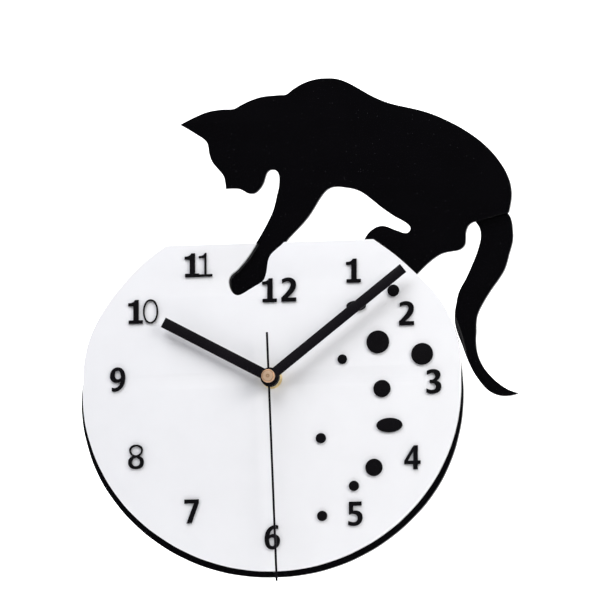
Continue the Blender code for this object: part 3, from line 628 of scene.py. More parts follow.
def merged_copy(node: str, frame: dict) -> bmesh.types.BMesh:
    """Copies a node of the frame with its loose triangles joined.

    Args:
        node: The node's name.
        frame: The loaded frame.

    Returns:
        The copy as a working mesh.
    """
    work = bmesh.new()
    work.from_mesh(frame["nodes"][node].data)
    bmesh.ops.remove_doubles(work, verts=work.verts, dist=WELD)
    return work


def to_mesh(work: bmesh.types.BMesh, name: str, outward: bool = True) -> bpy.types.Mesh:
    """Writes a working mesh out and frees it.

    Args:
        work: The working mesh.
        name: The mesh's name.
        outward: True where its faces have to be turned outwards first.

    Returns:
        The new mesh.
    """
    if outward:
        bmesh.ops.recalc_face_normals(work, faces=work.faces)
    mesh = bpy.data.meshes.new(name)
    work.to_mesh(mesh)
    work.free()
    return mesh


def front_loops(work: bmesh.types.BMesh) -> list[Outline]:
    """Reads the outlines of a sheet's front face.

    Args:
        work: The sheet's merged mesh.

    Returns:
        Closed loops of (x, z), the longest first.
    """
    front = min(vert.co.y for vert in work.verts)
    faces = dict.fromkeys(face for face in work.faces
                          if all(abs(vert.co.y - front) < WELD for vert in face.verts))
    beside: dict[bmesh.types.BMVert, list[bmesh.types.BMVert]] = {}
    for face in faces:
        for edge in face.edges:
            if sum(other in faces for other in edge.link_faces) == 1:
                first, second = edge.verts
                beside.setdefault(first, []).append(second)
                beside.setdefault(second, []).append(first)
    loops = []
    while beside:
        start = next(iter(beside))
        loop, here, before = [start], beside[start][0], start
        while here is not start:
            loop.append(here)
            ahead = [vert for vert in beside[here] if vert is not before]
            before, here = here, ahead[0]
        for vert in loop:
            beside.pop(vert)
        loops.append([(vert.co.x, vert.co.z) for vert in loop])
    return sorted(loops, key=len, reverse=True)


def sharp_points(loop: Outline, corner_deg: float, straight_run: float = 18 * MM) -> set[int]:
    """Finds the corners of an outline: its sharp turns, and the ends of its straight runs.

    Args:
        loop: The outline's points.
        corner_deg: A turn by more than this is a corner.
        straight_run: A longer step than this between two points is a straight run.

    Returns:
        The numbers of those points.
    """
    points = [Vector(point) for point in loop]
    found = set()
    for number, point in enumerate(points):
        back = point - points[number - 1]
        ahead = points[(number + 1) % len(points)] - point
        ends_run = max(back.length, ahead.length) > straight_run
        if back.angle(ahead) > math.radians(corner_deg) or ends_run:
            found.add(number)
    return found


def smooth_loop(loop: Outline, corners: set[int], steps: int) -> Outline:
    """Rounds a closed outline between its points, keeping its corners sharp.

    Args:
        loop: The outline's points.
        corners: The numbers of the points that stay corners.
        steps: New points for each old one.

    Returns:
        The finer outline.
    """
    points = [Vector(point) for point in loop]
    count = len(points)
    leaving, arriving = [], []
    for number, point in enumerate(points):
        back, ahead = point - points[number - 1], points[(number + 1) % count] - point
        through = back.normalized() * ahead.length + ahead.normalized() * back.length
        is_corner = number in corners
        arriving.append((back if is_corner else through).normalized())
        leaving.append((ahead if is_corner else through).normalized())
    finer = []
    for number, point in enumerate(points):
        after = (number + 1) % count
        span = (points[after] - point).length
        pieces = 1 if number in corners and after in corners else steps
        for step in range(pieces):
            t = step / pieces
            here = point * (2 * t**3 - 3 * t**2 + 1) + points[after] * (3 * t**2 - 2 * t**3)
            here += leaving[number] * span * (t**3 - 2 * t**2 + t)
            here += arriving[after] * span * (t**3 - t**2)
            finer.append((here.x, here.y))
    return finer


def cut_sheet(loops: Sequence[Outline], front: float, back: float, arris: float,
              segments: int = 2) -> bpy.types.Mesh:
    """Cuts a sheet with small rounded edges from outlines in the wall's plane.

    Args:
        loops: Outlines of (x, z); the inner ones are holes.
        front: The front face's depth out of the wall.
        back: The back face's depth out of the wall.
        arris: Radius of the rounded edge.
        segments: Steps across the rounded edge.

    Returns:
        The sheet's mesh in world space.
    """
    curve = bpy.data.curves.new("outline", "CURVE")
    curve.dimensions = "2D"
    curve.fill_mode = "BOTH"
    curve.extrude = (front - back) / 2 - arris
    curve.bevel_depth = arris
    curve.bevel_resolution = segments
    curve.offset = -arris
    for loop in loops:
        spline = curve.splines.new("POLY")
        spline.use_cyclic_u = True
        spline.points.add(len(loop) - 1)
        for target, (x, z) in zip(spline.points, loop):
            target.co = (x, z, 0, 1)
    item = bpy.data.objects.new("outline", curve)
    bpy.context.scene.collection.objects.link(item)
    mesh = settle(item)
    work = bmesh.new()
    work.from_mesh(mesh)
    bmesh.ops.remove_doubles(work, verts=work.verts, dist=WELD_SHEET)
    turn = Matrix.Rotation(math.radians(90), 4, "X")
    lift = Matrix.Translation((0, -(front + back) / 2, 0))
    bmesh.ops.transform(work, matrix=lift @ turn, verts=work.verts)
    return to_mesh(work, "sheet")


def joined(meshes: Sequence[bpy.types.Mesh]) -> bpy.types.Mesh:
    """Puts several meshes in one.

    Args:
        meshes: The meshes.

    Returns:
        One mesh of them all.
    """
    work = bmesh.new()
    for mesh in meshes:
        work.from_mesh(mesh)
    return to_mesh(work, "joined", outward=False)


def lathe(profile: Sequence[tuple[float, float]], centre: tuple[float, float],
          steps: int = 64) -> bpy.types.Mesh:
    """Turns a profile about an axis that runs out of the wall.

    Args:
        profile: Points of (radius, depth out of the wall); closed when none is on the axis.
        centre: The axis in x and z.
        steps: Segments round the axis.

    Returns:
        The turned mesh in world space.
    """
    work = bmesh.new()
    rings = []
    for radius, depth in profile:
        if radius <= 0:
            rings.append([work.verts.new((centre[0], -depth, centre[1]))] * steps)
            continue
        ring = []
        for step in range(steps):
            turn = 2 * math.pi * step / steps
            ring.append(work.verts.new((centre[0] + radius * math.cos(turn), -depth,
                                        centre[1] + radius * math.sin(turn))))
        rings.append(ring)
    closed = all(radius > 0 for radius, _ in profile)
    pairs = list(zip(rings, rings[1:]))
    if closed:
        pairs.append((rings[-1], rings[0]))
    for first, second in pairs:
        for step in range(steps):
            after = (step + 1) % steps
            corners = [first[step], first[after], second[after], second[step]]
            distinct = list(dict.fromkeys(corners))
            if len(distinct) > 2:
                work.faces.new(distinct)
    return to_mesh(work, "turned")


def softened(node: str, frame: dict, width: float, segments: int = 2) -> bpy.types.Mesh:
    """Copies a moulded or pressed node and rounds its edges.

    Args:
        node: The frame's node.
        frame: The loaded frame.
        width: Width of the rounding.
        segments: Steps across it.

    Returns:
        The rounded mesh.
    """
    work = merged_copy(node, frame)
    bmesh.ops.dissolve_limit(work, angle_limit=math.radians(1), verts=work.verts,
                             edges=work.edges)
    item = new_object("soft", to_mesh(work, "soft", outward=False))
    bevel = item.modifiers.new("edges", "BEVEL")
    bevel.width = width
    bevel.segments = segments
    bevel.limit_method = "ANGLE"
    bevel.angle_limit = math.radians(BEVEL_DEG)
    return settle(item)


# ------------------------------------------------------------------ geometry node trees

class GeometryTree:
    """A Geometry Nodes tree that a subclass fills, turned into a plain mesh when run."""

    name = "tree"
    inputs: tuple[tuple[str, str, float], ...] = ()

    def __init__(self, material: bpy.types.Material) -> None:
        """Builds the tree.

        Args:
            material: The finish that Set Material gives the result.
        """
        self.tree = bpy.data.node_groups.new(self.name, "GeometryNodeTree")
        face = self.tree.interface
        face.new_socket(name="Geometry", in_out="INPUT", socket_type="NodeSocketGeometry")
        self.sockets = {}
        for label, kind, value in self.inputs:
            socket = face.new_socket(name=label, in_out="INPUT", socket_type=kind)
            socket.default_value = value
            self.sockets[label] = socket.identifier
        face.new_socket(name="Geometry", in_out="OUTPUT", socket_type="NodeSocketGeometry")
        self.entry = self.tree.nodes.new("NodeGroupInput")
        shape = self.fill()
        real = self.tree.nodes.new("GeometryNodeRealizeInstances")
        paint = self.tree.nodes.new("GeometryNodeSetMaterial")
        paint.inputs["Material"].default_value = material
        leave = self.tree.nodes.new("NodeGroupOutput")
        self.link(shape, real.inputs[0])
        self.link(real.outputs[0], paint.inputs["Geometry"])
        self.link(paint.outputs[0], leave.inputs[0])

    def fill(self) -> bpy.types.NodeSocket:
        """Adds the tree's own nodes and returns the geometry they make."""
        raise NotImplementedError

    def node(self, kind: str, **values: object) -> bpy.types.Node:
        """Adds a node; a value goes to the input of its name, and a socket is linked.

        Args:
            kind: The node's type name.
            values: Inputs by name, with underscores for spaces.

        Returns:
            The new node.
        """
        made = self.tree.nodes.new(kind)
        for key, value in values.items():
            socket = made.inputs[key.replace("_", " ")]
            if isinstance(value, bpy.types.NodeSocket):
                self.link(value, socket)
            else:
                socket.default_value = value
        return made

    def link(self, source: bpy.types.NodeSocket, target: bpy.types.NodeSocket) -> None:
        """Joins two sockets."""
        self.tree.links.new(source, target)

    def run(self, place: Matrix, **values: float) -> bpy.types.Mesh:
        """Runs the tree and moves its result into place.

        Args:
            place: Where the result goes in world space.
            values: The tree's inputs, with underscores for spaces.

        Returns:
            A plain mesh.
        """
        item = bpy.data.objects.new(self.name, bpy.data.meshes.new(self.name))
        bpy.context.scene.collection.objects.link(item)
        modifier = item.modifiers.new(self.name, "NODES")
        modifier.node_group = self.tree
        for key, value in values.items():
            modifier[self.sockets[key.replace("_", " ")]] = value
        mesh = settle(item)
        mesh.transform(place)
        return mesh


class SpiralWire(GeometryTree):
    """A wire wound round the local Z axis: a coil's winding or a thread's ridge."""

    name = "spiral_wire"
    inputs = (("Turns", "NodeSocketFloat", 10.0), ("Steps", "NodeSocketInt", 24),
              ("Radius", "NodeSocketFloat", 0.003), ("Length", "NodeSocketFloat", 0.01),
              ("Wire", "NodeSocketFloat", 0.0002))

    def fill(self) -> bpy.types.NodeSocket:
        """Sweeps a small ring along a spiral.

        Returns:
            The wire's geometry.
        """
        given = self.entry.outputs
        spiral = self.node("GeometryNodeCurveSpiral", Resolution=given["Steps"],
                           Rotations=given["Turns"], Start_Radius=given["Radius"],
                           End_Radius=given["Radius"], Height=given["Length"])
        ring = self.node("GeometryNodeCurvePrimitiveCircle", Resolution=6)
        self.link(given["Wire"], ring.inputs["Radius"])
        swept = self.node("GeometryNodeCurveToMesh", Curve=spiral.outputs[0],
                          Profile_Curve=ring.outputs[0], Fill_Caps=True)
        return swept.outputs[0]


class RibRing(GeometryTree):
    """Small ribs set round a circle about the local Z axis, as a knob's grip."""

    name = "rib_ring"
    inputs = (("Count", "NodeSocketInt", 36), ("Radius", "NodeSocketFloat", 0.006),
              ("Rib", "NodeSocketFloat", 0.0003), ("Height", "NodeSocketFloat", 0.001))

    def fill(self) -> bpy.types.NodeSocket:
        """Stands a slim round rib at each point of a circle.

        Returns:
            The ribs' geometry.
        """
        given = self.entry.outputs
        circle = self.node("GeometryNodeMeshCircle", Vertices=given["Count"],
                           Radius=given["Radius"])
        rib = self.node("GeometryNodeMeshCylinder", Vertices=8, Radius=given["Rib"],
                        Depth=given["Height"])
        stood = self.node("GeometryNodeInstanceOnPoints", Points=circle.outputs[0],
                          Instance=rib.outputs[0])
        return stood.outputs[0]


# ------------------------------------------------------------------ the clock's sub-assemblies

@dataclass
class SubAssembly:
    """What every sub-assembly needs: the frame, the finishes and a way to hand pieces in."""

    frame: dict
    palette: Palette

    def hand_in(self, name: str, mesh: bpy.types.Mesh, body: Body, finish: Finish, slot: Slot,
                *stands_for: str) -> bpy.types.Object:
        """Puts a finished piece on its body.

        Args:
            name: The piece's name.
            mesh: Its mesh in world space.
            body: The body that carries it.
            finish: Its finish.
            slot: The record's slot that it belongs to; not used.
            stands_for: Nodes of the frame that it replaces.

        Returns:
            The piece.
        """
        piece = new_object(name, mesh, self.palette.get(finish))
        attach(piece, body.value)
        if stands_for:
            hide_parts(*stands_for)
        LOG.info("%s rides on %s", name, body.value)
        return piece

    def dress(self, finish: Finish, *nodes: str) -> None:
        """Gives nodes of the frame a finish and leaves their shape alone.

        Args:
            finish: The finish.
            nodes: The nodes' names.
        """
        material = self.palette.get(finish)
        for node in nodes:
            item = self.frame["nodes"][node]
            if not item.material_slots:
                item.data.materials.append(material)
            for slot in item.material_slots:
                slot.material = material
            LOG.info("%s is dressed in %s", node, finish.name)

    def middle(self, node: str) -> tuple[float, float]:
        """Returns the middle of a node in x and z."""
        low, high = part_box(node)
        return (low.x + high.x) / 2, (low.z + high.z) / 2

    def recut(self, node: str, steps: int, corner_deg: float, arris: float) -> bpy.types.Mesh:
        """Cuts a sheet node again with smooth outlines and rounded edges.

        Args:
            node: The frame's node.
            steps: New outline points for each old one.
            corner_deg: A sharper turn than this stays a corner.
            arris: Radius of the rounded edges.

        Returns:
            The new sheet's mesh.
        """
        work = merged_copy(node, self.frame)
        loops = [smooth_loop(loop, sharp_points(loop, corner_deg), steps)
                 for loop in front_loops(work)]
        work.free()
        low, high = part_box(node)
        inside = [[(min(max(x, low.x), high.x), min(max(z, low.z), high.z)) for x, z in loop]
                  for loop in loops]
        return cut_sheet(inside, -low.y, -high.y, arris)


@dataclass
class AcrylicSheets(SubAssembly):
    """The cat, the bowl dial and the tail, laser cut from 3 mm sheet."""

    arris: float = 0.12 * MM
    outline_steps: int = 4
    corner_deg: float = 48.0

    def build(self) -> None:
        """Cuts the three sheets."""
        sheets = (("cat_silhouette", "cat_back_plate", Body.CLOCK, BLACK_SHEET,
                   Slot.BLACK_ACRYLIC),
                  ("bowl_face", "dial_plate", Body.CLOCK, WHITE_SHEET, Slot.WHITE_ACRYLIC),
                  ("swinging_tail", "cat_tail", Body.TAIL, BLACK_SHEET, Slot.BLACK_ACRYLIC))
        for name, node, body, finish, slot in sheets:
            mesh = self.recut(node, self.outline_steps, self.corner_deg, self.arris)
            self.hand_in(name, mesh, body, finish, slot, node)


class Weight(Enum):
    """How heavy the strokes of a figure are."""

    BOLD = "bold"
    FINE = "fine"


@dataclass(frozen=True)
class FigureForm:
    """One figure on the grid: its edge, that edge's corners by number, and its holes."""

    edge: Outline
    corners: tuple[int, ...] = ()
    holes: tuple[Outline, ...] = ()

    def half_turned(self) -> FigureForm:
        """Turns the figure upside down.

        Returns:
            The new figure.
        """
        edge, *holes = [[(GRID_WIDE - x, GRID_HIGH - y) for x, y in loop]
                        for loop in (self.edge, *self.holes)]
        return FigureForm(edge, self.corners, tuple(holes))

    def loops(self, steps: int) -> list[Outline]:
        """Smooths the edge and the holes.

        Args:
            steps: New points for each listed one.

        Returns:
            The edge and then the holes, still on the grid.
        """
        smooth = [smooth_loop(self.edge, set(self.corners), steps)]
        for hole in self.holes:
            smooth.append(smooth_loop(hole, self.hole_corners(hole), steps))
        return smooth

    def hole_corners(self, hole: Outline) -> set[int]:
        """Returns the corners of a hole: all three of a triangle, none of a round one."""
        return {0, 1, 2} if len(hole) == 3 else set()


SIX = FigureForm(
    [(57, 98), (57, 82), (47, 85), (35, 82), (27, 74), (22, 59), (31, 63), (42, 64), (54, 58),
     (63, 46), (64, 30), (58, 13), (46, 2), (33, -1), (18, 3), (7, 16), (2, 35), (3, 57),
     (10, 78), (23, 93), (38, 100), (48, 101)], (0, 1, 5),
    ([(22, 45), (31, 49), (39, 46), (44, 37), (44, 27), (40, 16), (33, 13), (26, 17), (22, 28)],))
FORMS: dict[tuple[str, Weight], FigureForm] = {
    ("0", Weight.FINE): FigureForm(
        [(33, 101), (50, 94), (60, 76), (64, 50), (60, 24), (50, 6), (33, -1), (16, 6), (6, 24),
         (2, 50), (6, 76), (16, 94)], (),
        ([(33, 94), (45, 88), (54, 72), (57, 50), (54, 28), (45, 12), (33, 6), (21, 12),
          (12, 28), (9, 50), (12, 72), (21, 88)],)),
    ("1", Weight.BOLD): FigureForm(
        [(4, 0), (62, 0), (62, 15), (45, 15), (45, 100), (29, 100), (26, 94), (18, 89), (2, 87),
         (2, 74), (23, 74), (23, 15), (4, 15)], (0, 1, 2, 3, 4, 5, 8, 9, 10, 11, 12)),
    ("1", Weight.FINE): FigureForm(
        [(4, 0), (62, 0), (62, 11), (38, 11), (38, 100), (31, 100), (27, 93), (19, 89), (6, 87),
         (6, 79), (29, 79), (29, 11), (4, 11)], (0, 1, 2, 3, 4, 5, 8, 9, 10, 11, 12)),
    ("2", Weight.BOLD): FigureForm(
        [(3, 0), (64, 0), (64, 17), (29, 17), (40, 27), (52, 40), (60, 54), (63, 69), (60, 85),
         (50, 96), (33, 101), (18, 99), (6, 94), (6, 76), (17, 82), (29, 85), (38, 81), (41, 71),
         (37, 58), (27, 43), (15, 29), (3, 18)], (0, 1, 2, 3, 12, 13, 21)),
    ("3", Weight.BOLD): FigureForm(
        [(3, 4), (3, 22), (14, 17), (26, 15), (37, 18), (41, 28), (37, 38), (28, 42), (16, 43),
         (16, 57), (28, 58), (36, 63), (39, 71), (35, 81), (25, 85), (15, 82), (5, 78), (5, 95),
         (16, 99), (30, 101), (46, 98), (57, 89), (60, 75), (55, 62), (45, 52), (57, 46),
         (63, 34), (62, 19), (54, 6), (41, 0), (25, -1), (12, 1)], (0, 1, 8, 9, 16, 17, 24)),
    ("4", Weight.BOLD): FigureForm(
        [(37, 0), (56, 0), (56, 22), (67, 22), (67, 37), (56, 37), (56, 100), (39, 100),
         (1, 37), (1, 22), (37, 22)], tuple(range(11)), ([(37, 37), (37, 75), (16, 37)],)),
    ("5", Weight.BOLD): FigureForm(
        [(5, 4), (5, 21), (16, 17), (27, 15), (38, 18), (43, 28), (42, 38), (36, 46), (25, 49),
         (8, 46), (8, 100), (59, 100), (59, 83), (25, 83), (25, 63), (38, 63), (52, 58),
         (61, 47), (63, 32), (59, 16), (48, 4), (33, -1), (18, 0)],
        (0, 1, 9, 10, 11, 12, 13, 14)),
    ("6", Weight.BOLD): SIX,
    ("7", Weight.BOLD): FigureForm(
        [(4, 100), (63, 100), (63, 84), (34, 0), (13, 0), (43, 83), (4, 83)], tuple(range(7))),
    ("8", Weight.BOLD): FigureForm(
        [(33, 101), (48, 98), (58, 89), (61, 76), (57, 63), (48, 53), (60, 44), (65, 29),
         (62, 13), (51, 2), (33, -1), (15, 2), (4, 13), (1, 29), (6, 44), (18, 53), (9, 63),
         (5, 76), (8, 89), (18, 98)], (5, 15),
        ([(33, 93), (43, 90), (51, 83), (53, 74), (48, 64), (40, 58), (26, 58), (18, 64),
          (13, 74), (15, 83), (23, 90)],
         [(33, 47), (41, 42), (48, 34), (48, 22), (43, 14), (33, 11), (23, 14), (18, 22),
          (18, 34), (25, 42)])),
    ("9", Weight.BOLD): SIX.half_turned(),
}


@dataclass
class DialFigures(SubAssembly):
    """The hour figures and the bubbles, thin black pieces on the dial."""

    arris: float = 0.10 * MM
    bubble_steps: int = 4
    bubble_corner_deg: float = 80.0
    figure_steps: int = 5

    def build(self) -> None:
        """Makes every bubble and figure."""
        self.bubbles()
        self.figures()

    def bubbles(self) -> None:
        """Cuts the round and oval spots with soft edges."""
        nodes = sorted(name for name in self.frame["nodes"] if name.startswith("bubble_"))
        for node in nodes:
            mesh = self.recut(node, self.bubble_steps, self.bubble_corner_deg, self.arris)
            self.hand_in(node.replace("bubble", "spot"), mesh, Body.CLOCK, INLAY_BLACK,
                         Slot.BLACK_ACRYLIC, node)

    def figures(self) -> None:
        """Cuts the hour figures; the 0 of the ten and the last 1 of the eleven are fine."""
        nodes = sorted(name for name in self.frame["nodes"] if name.startswith("numeral_"))
        for node in nodes:
            hour = str(int(node[-2:]))
            weights = [Weight.BOLD, Weight.FINE if hour in ("10", "11") else Weight.BOLD]
            forms = [FORMS[digit, weight] for digit, weight in zip(hour, weights)]
            self.hand_in(node.replace("numeral", "figure"), self.figure(node, forms),
                         Body.CLOCK, INLAY_BLACK, Slot.BLACK_ACRYLIC, node)

    def figure(self, node: str, forms: list[FigureForm]) -> bpy.types.Mesh:
        """Cuts one or two figures side by side, as wide and high as their node.

        Args:
            node: The frame's node.
            forms: The figures, from left to right.

        Returns:
            One mesh of them all.
        """
        low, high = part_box(node)
        points = [point for form in forms for point in form.edge]
        foot, head = min(y for _, y in points), max(y for _, y in points)
        up = (high.z - low.z) / (head - foot)
        across = up * GRID_ASPECT
        meshes = []
        for number, form in enumerate(forms):
            left, right = min(x for x, _ in form.edge), max(x for x, _ in form.edge)
            shift = low.x - left * across
            if number == 1:
                shift = high.x - right * across
            if len(forms) == 1:
                shift = (low.x + high.x - (left + right) * across) / 2
            loops = [[(x * across + shift, (y - foot) * up + low.z) for x, y in loop]
                     for loop in form.loops(self.figure_steps)]
            meshes.append(cut_sheet(loops, -low.y, -high.y, self.arris, 1))
        return joined(meshes)


@dataclass
class HandSet(SubAssembly):
    """The three hands, the cap in front of them and the brass parts behind them."""

    arris: float = 0.12 * MM
    outline_steps: int = 3
    corner_deg: float = 40.0
    groove: float = 0.03 * MM
    groove_shares: tuple[float, ...] = (0.74, 0.56, 0.38, 0.2)
    groove_half: float = 0.05
    dimple: float = 0.1
    rim_in: float = 0.14
    rim_down: float = 0.22
    rim_steps: int = 6
    socket: float = 0.2
    socket_depth: float = 1.2 * MM
    nut_soft: float = 0.3 * MM
    washer_bore: float = 4.3 * MM
    chamfer: float = 0.3 * MM
    bushing_bore: float = 2.62 * MM
    thread_pitch: float = 0.75 * MM
    thread_depth: float = 0.22 * MM
    thread_ridge: float = 0.2 * MM

    def build(self) -> None:
        """Makes the hands, the cap, the nut, the washer and the threaded bushing."""
        for name, node, body in (("hour_blade", "hour_hand", Body.HOUR),
                                 ("minute_blade", "minute_hand", Body.MINUTE),
                                 ("second_needle", "second_hand", Body.SECOND)):
            mesh = self.recut(node, self.outline_steps, self.corner_deg, self.arris)
            self.hand_in(name, mesh, body, HAND_ENAMEL, Slot.HAND_BLACK, node)
        self.cap()
        self.nut()
        self.washer()
        self.bushing()

    def cap(self) -> None:
        """Turns the cap with a rounded rim and four fine grooves round a shallow dimple."""
        low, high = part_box("second_hand_cap")
        front, back = -low.y, -high.y
        radius = (high.x - low.x) / 2
        rim = [(radius, back)]
        for step in range(self.rim_steps + 1):
            turn = math.pi / 2 * step / self.rim_steps
            rim.append((radius * (1 - self.rim_in + self.rim_in * math.cos(turn)),
                        front - radius * self.rim_down * (1 - math.sin(turn))))
        face = []
        for share in self.groove_shares:
            inner = radius * (share - self.groove_half)
            outer = radius * (share + self.groove_half)
            face += [(outer, front), (radius * share, front - self.groove), (inner, front)]
        face += [(radius * self.dimple, front), (0.0, front - self.groove)]
        socket, floor = radius * self.socket, back + self.socket_depth
        profile = [(0.0, floor), (socket, floor), (socket, back)] + rim + face
        self.hand_in("copper_cap", lathe(profile, self.middle("second_hand_cap"), 72),
                     Body.SECOND, CAP_COPPER, Slot.COPPER, "second_hand_cap")

    def nut(self) -> None:
        """Rounds the edges of the hexagonal nut."""
        nut = softened("hex_nut", self.frame, self.nut_soft, 3)
        self.hand_in("brass_hex_nut", nut, Body.CLOCK, NUT_BRASS, Slot.BRASS, "hex_nut")

    def washer(self) -> None:
        """Turns the washer with rounded edges."""
        self.ring("flat_brass_washer", "brass_washer", self.washer_bore, NUT_BRASS,
                  Slot.BRASS)

    def ring(self, name: str, node: str, bore: float, finish: Finish, slot: Slot) -> None:
        """Turns a flat ring in place of a node.

        Args:
            name: The piece's name.
            node: The node that it replaces.
            bore: Radius of its hole.
            finish: Its finish.
            slot: The record's slot.
        """
        low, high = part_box(node)
        front, back, radius = -low.y, -high.y, (high.x - low.x) / 2
        soft = (front - back) * 0.25
        profile = [(radius, back + soft), (radius, front - soft), (radius - soft, front),
                   (bore + soft, front), (bore, front - soft), (bore, back + soft),
                   (bore + soft, back), (radius - soft, back)]
        self.hand_in(name, lathe(profile, self.middle(node), 64), Body.CLOCK, finish, slot, node)

    def bushing(self) -> None:
        """Turns the bushing's core and winds its thread round it."""
        low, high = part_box("threaded_bushing")
        front, back, radius = -low.y, -high.y, (high.x - low.x) / 2
        core, bore, ridge = radius - self.thread_depth, self.bushing_bore, self.thread_ridge
        profile = [(core, back), (core, front - self.chamfer), (core - self.chamfer, front),
                   (bore, front), (bore, back)]
        mesh = lathe(profile, (0.0, 0.0), 64)
        length = front - back - 4 * ridge
        turn = Matrix.Rotation(math.radians(90), 4, "X")
        place = Matrix.Translation((0, -(back + 2 * ridge), 0)) @ turn
        thread = SpiralWire(self.palette.get(NUT_BRASS)).run(
            place, Turns=length / self.thread_pitch, Steps=36, Radius=core, Length=length,
            Wire=ridge)
        self.hand_in("bushing_core", mesh, Body.CLOCK, NUT_BRASS, Slot.BRASS,
                     "threaded_bushing")
        self.hand_in("bushing_thread", thread, Body.CLOCK, NUT_BRASS, Slot.BRASS)


@dataclass
class Movement(SubAssembly):
    """The quartz movement behind the dial."""

    soft: float = 0.35 * MM
    soft_cover: float = 0.2 * MM
    soft_hanger: float = 0.15 * MM
    wire: float = 0.16 * MM
    knob_ribs: int = 40
    knob_rib: float = 0.28 * MM
    knob_rib_height: float = 0.7 * MM
    knob_rib_at: float = 0.85 * MM

    def build(self) -> None:
        """Rounds the moulded parts, winds the coil and dresses the train."""
        moulded = (("movement_shell", "movement_case", self.soft),
                   ("movement_back", "movement_cover", self.soft_cover))
        for name, node, width in moulded:
            self.hand_in(name, softened(node, self.frame, width), Body.CLOCK, CASE_PLASTIC,
                         Slot.BLACK_PLASTIC, node)
        strip = softened("hanger_bracket", self.frame, self.soft_hanger)
        self.hand_in("hanger_strip", strip, Body.CLOCK, PLAIN_STEEL, Slot.STEEL,
                     "hanger_bracket")
        self.dress(WHEEL_PLASTIC, "train_plate", "motion_wheel", "hour_wheel",
                   "intermediate_wheel", "coil_bobbin")
        self.dress(WHEEL_BRASS, "third_wheel", "minute_wheel")
        self.dress(PLAIN_STEEL, "stator", "second_wheel", "rotor", "contact_positive",
                   "contact_negative")
        self.dress(BOARD_RESIST, "circuit_board")
        self.dress(SOFT_RUBBER, "rubber_washer")
        self.winding()
        self.knob()

    def winding(self) -> None:
        """Winds the motor's coil from wire round its core."""
        low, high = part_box("coil_winding")
        outer, wire = (high.z - low.z) / 2, self.wire
        length = high.x - low.x - 2 * wire
        centre = (low + high) / 2
        turn = Matrix.Rotation(math.radians(90), 4, "Y")
        place = Matrix.Translation((low.x + wire, centre.y, centre.z)) @ turn
        mesh = SpiralWire(self.palette.get(WIRE_COPPER)).run(
            place, Turns=length / (2 * wire), Steps=20, Radius=outer - wire, Length=length,
            Wire=wire)
        self.hand_in("motor_winding", mesh, Body.CLOCK, WIRE_COPPER, Slot.COPPER,
                     "coil_winding")

    def knob(self) -> None:
        """Gives the setting knob a grip of small ribs round its rim."""
        self.dress(CASE_PLASTIC, "setting_knob")
        low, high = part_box("setting_knob")
        x, z = self.middle("setting_knob")
        turn = Matrix.Rotation(math.radians(90), 4, "X")
        place = Matrix.Translation((x, high.y - self.knob_rib_at, z)) @ turn
        mesh = RibRing(self.palette.get(CASE_PLASTIC)).run(
            place, Count=self.knob_ribs, Radius=(high.x - low.x) / 2, Rib=self.knob_rib,
            Height=self.knob_rib_height)
        self.hand_in("knob_grip", mesh, Body.KNOB, CASE_PLASTIC, Slot.BLACK_PLASTIC)


@dataclass
class DryCells(SubAssembly):
    """The cells of the movement and of the swing module."""

    steps: int = 64

    def build(self) -> None:
        """Makes both cells."""
        self.cell("movement_cell", "aa_cell")
        self.cell("tail_cell", "swing_cell")

    def cell(self, name: str, node: str) -> None:
        """Turns a cell with a crimped end, a seam and a button, lying along x.

        Args:
            name: The piece's name.
            node: The node that it replaces.
        """
        low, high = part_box(node)
        radius, length = (high.z - low.z) / 2, high.x - low.x
        lip, button = radius * 0.1, radius * 0.31
        end = length - 1.2 * MM
        profile = [(0.0, 0.0), (radius * 0.72, 0.0), (radius * 0.8, 0.15 * MM),
                   (radius - lip, 0.15 * MM), (radius - lip * 0.3, 0.35 * MM),
                   (radius, 0.9 * MM), (radius, end - 0.7 * MM),
                   (radius - lip * 0.3, end - 0.15 * MM), (radius - lip, end),
                   (radius - lip * 1.6, end - 0.25 * MM), (button * 1.25, end - 0.2 * MM),
                   (button, end), (button, length - 0.25 * MM), (button * 0.85, length),
                   (0.0, length)]
        mesh = lathe(profile, (0.0, 0.0), self.steps)
        centre = (low + high) / 2
        turn = Matrix.Rotation(math.radians(90), 4, "Z")
        mesh.transform(Matrix.Translation((low.x, centre.y, centre.z)) @ turn)
        finish = CellFinish(f"{name}_film", (0.03, 0.055, 0.12), 0.22, 0.32, 0.4,
                            band_from=low.x + length * 0.68)
        self.hand_in(name, mesh, Body.CLOCK, finish, Slot.CELL_WRAP, node)


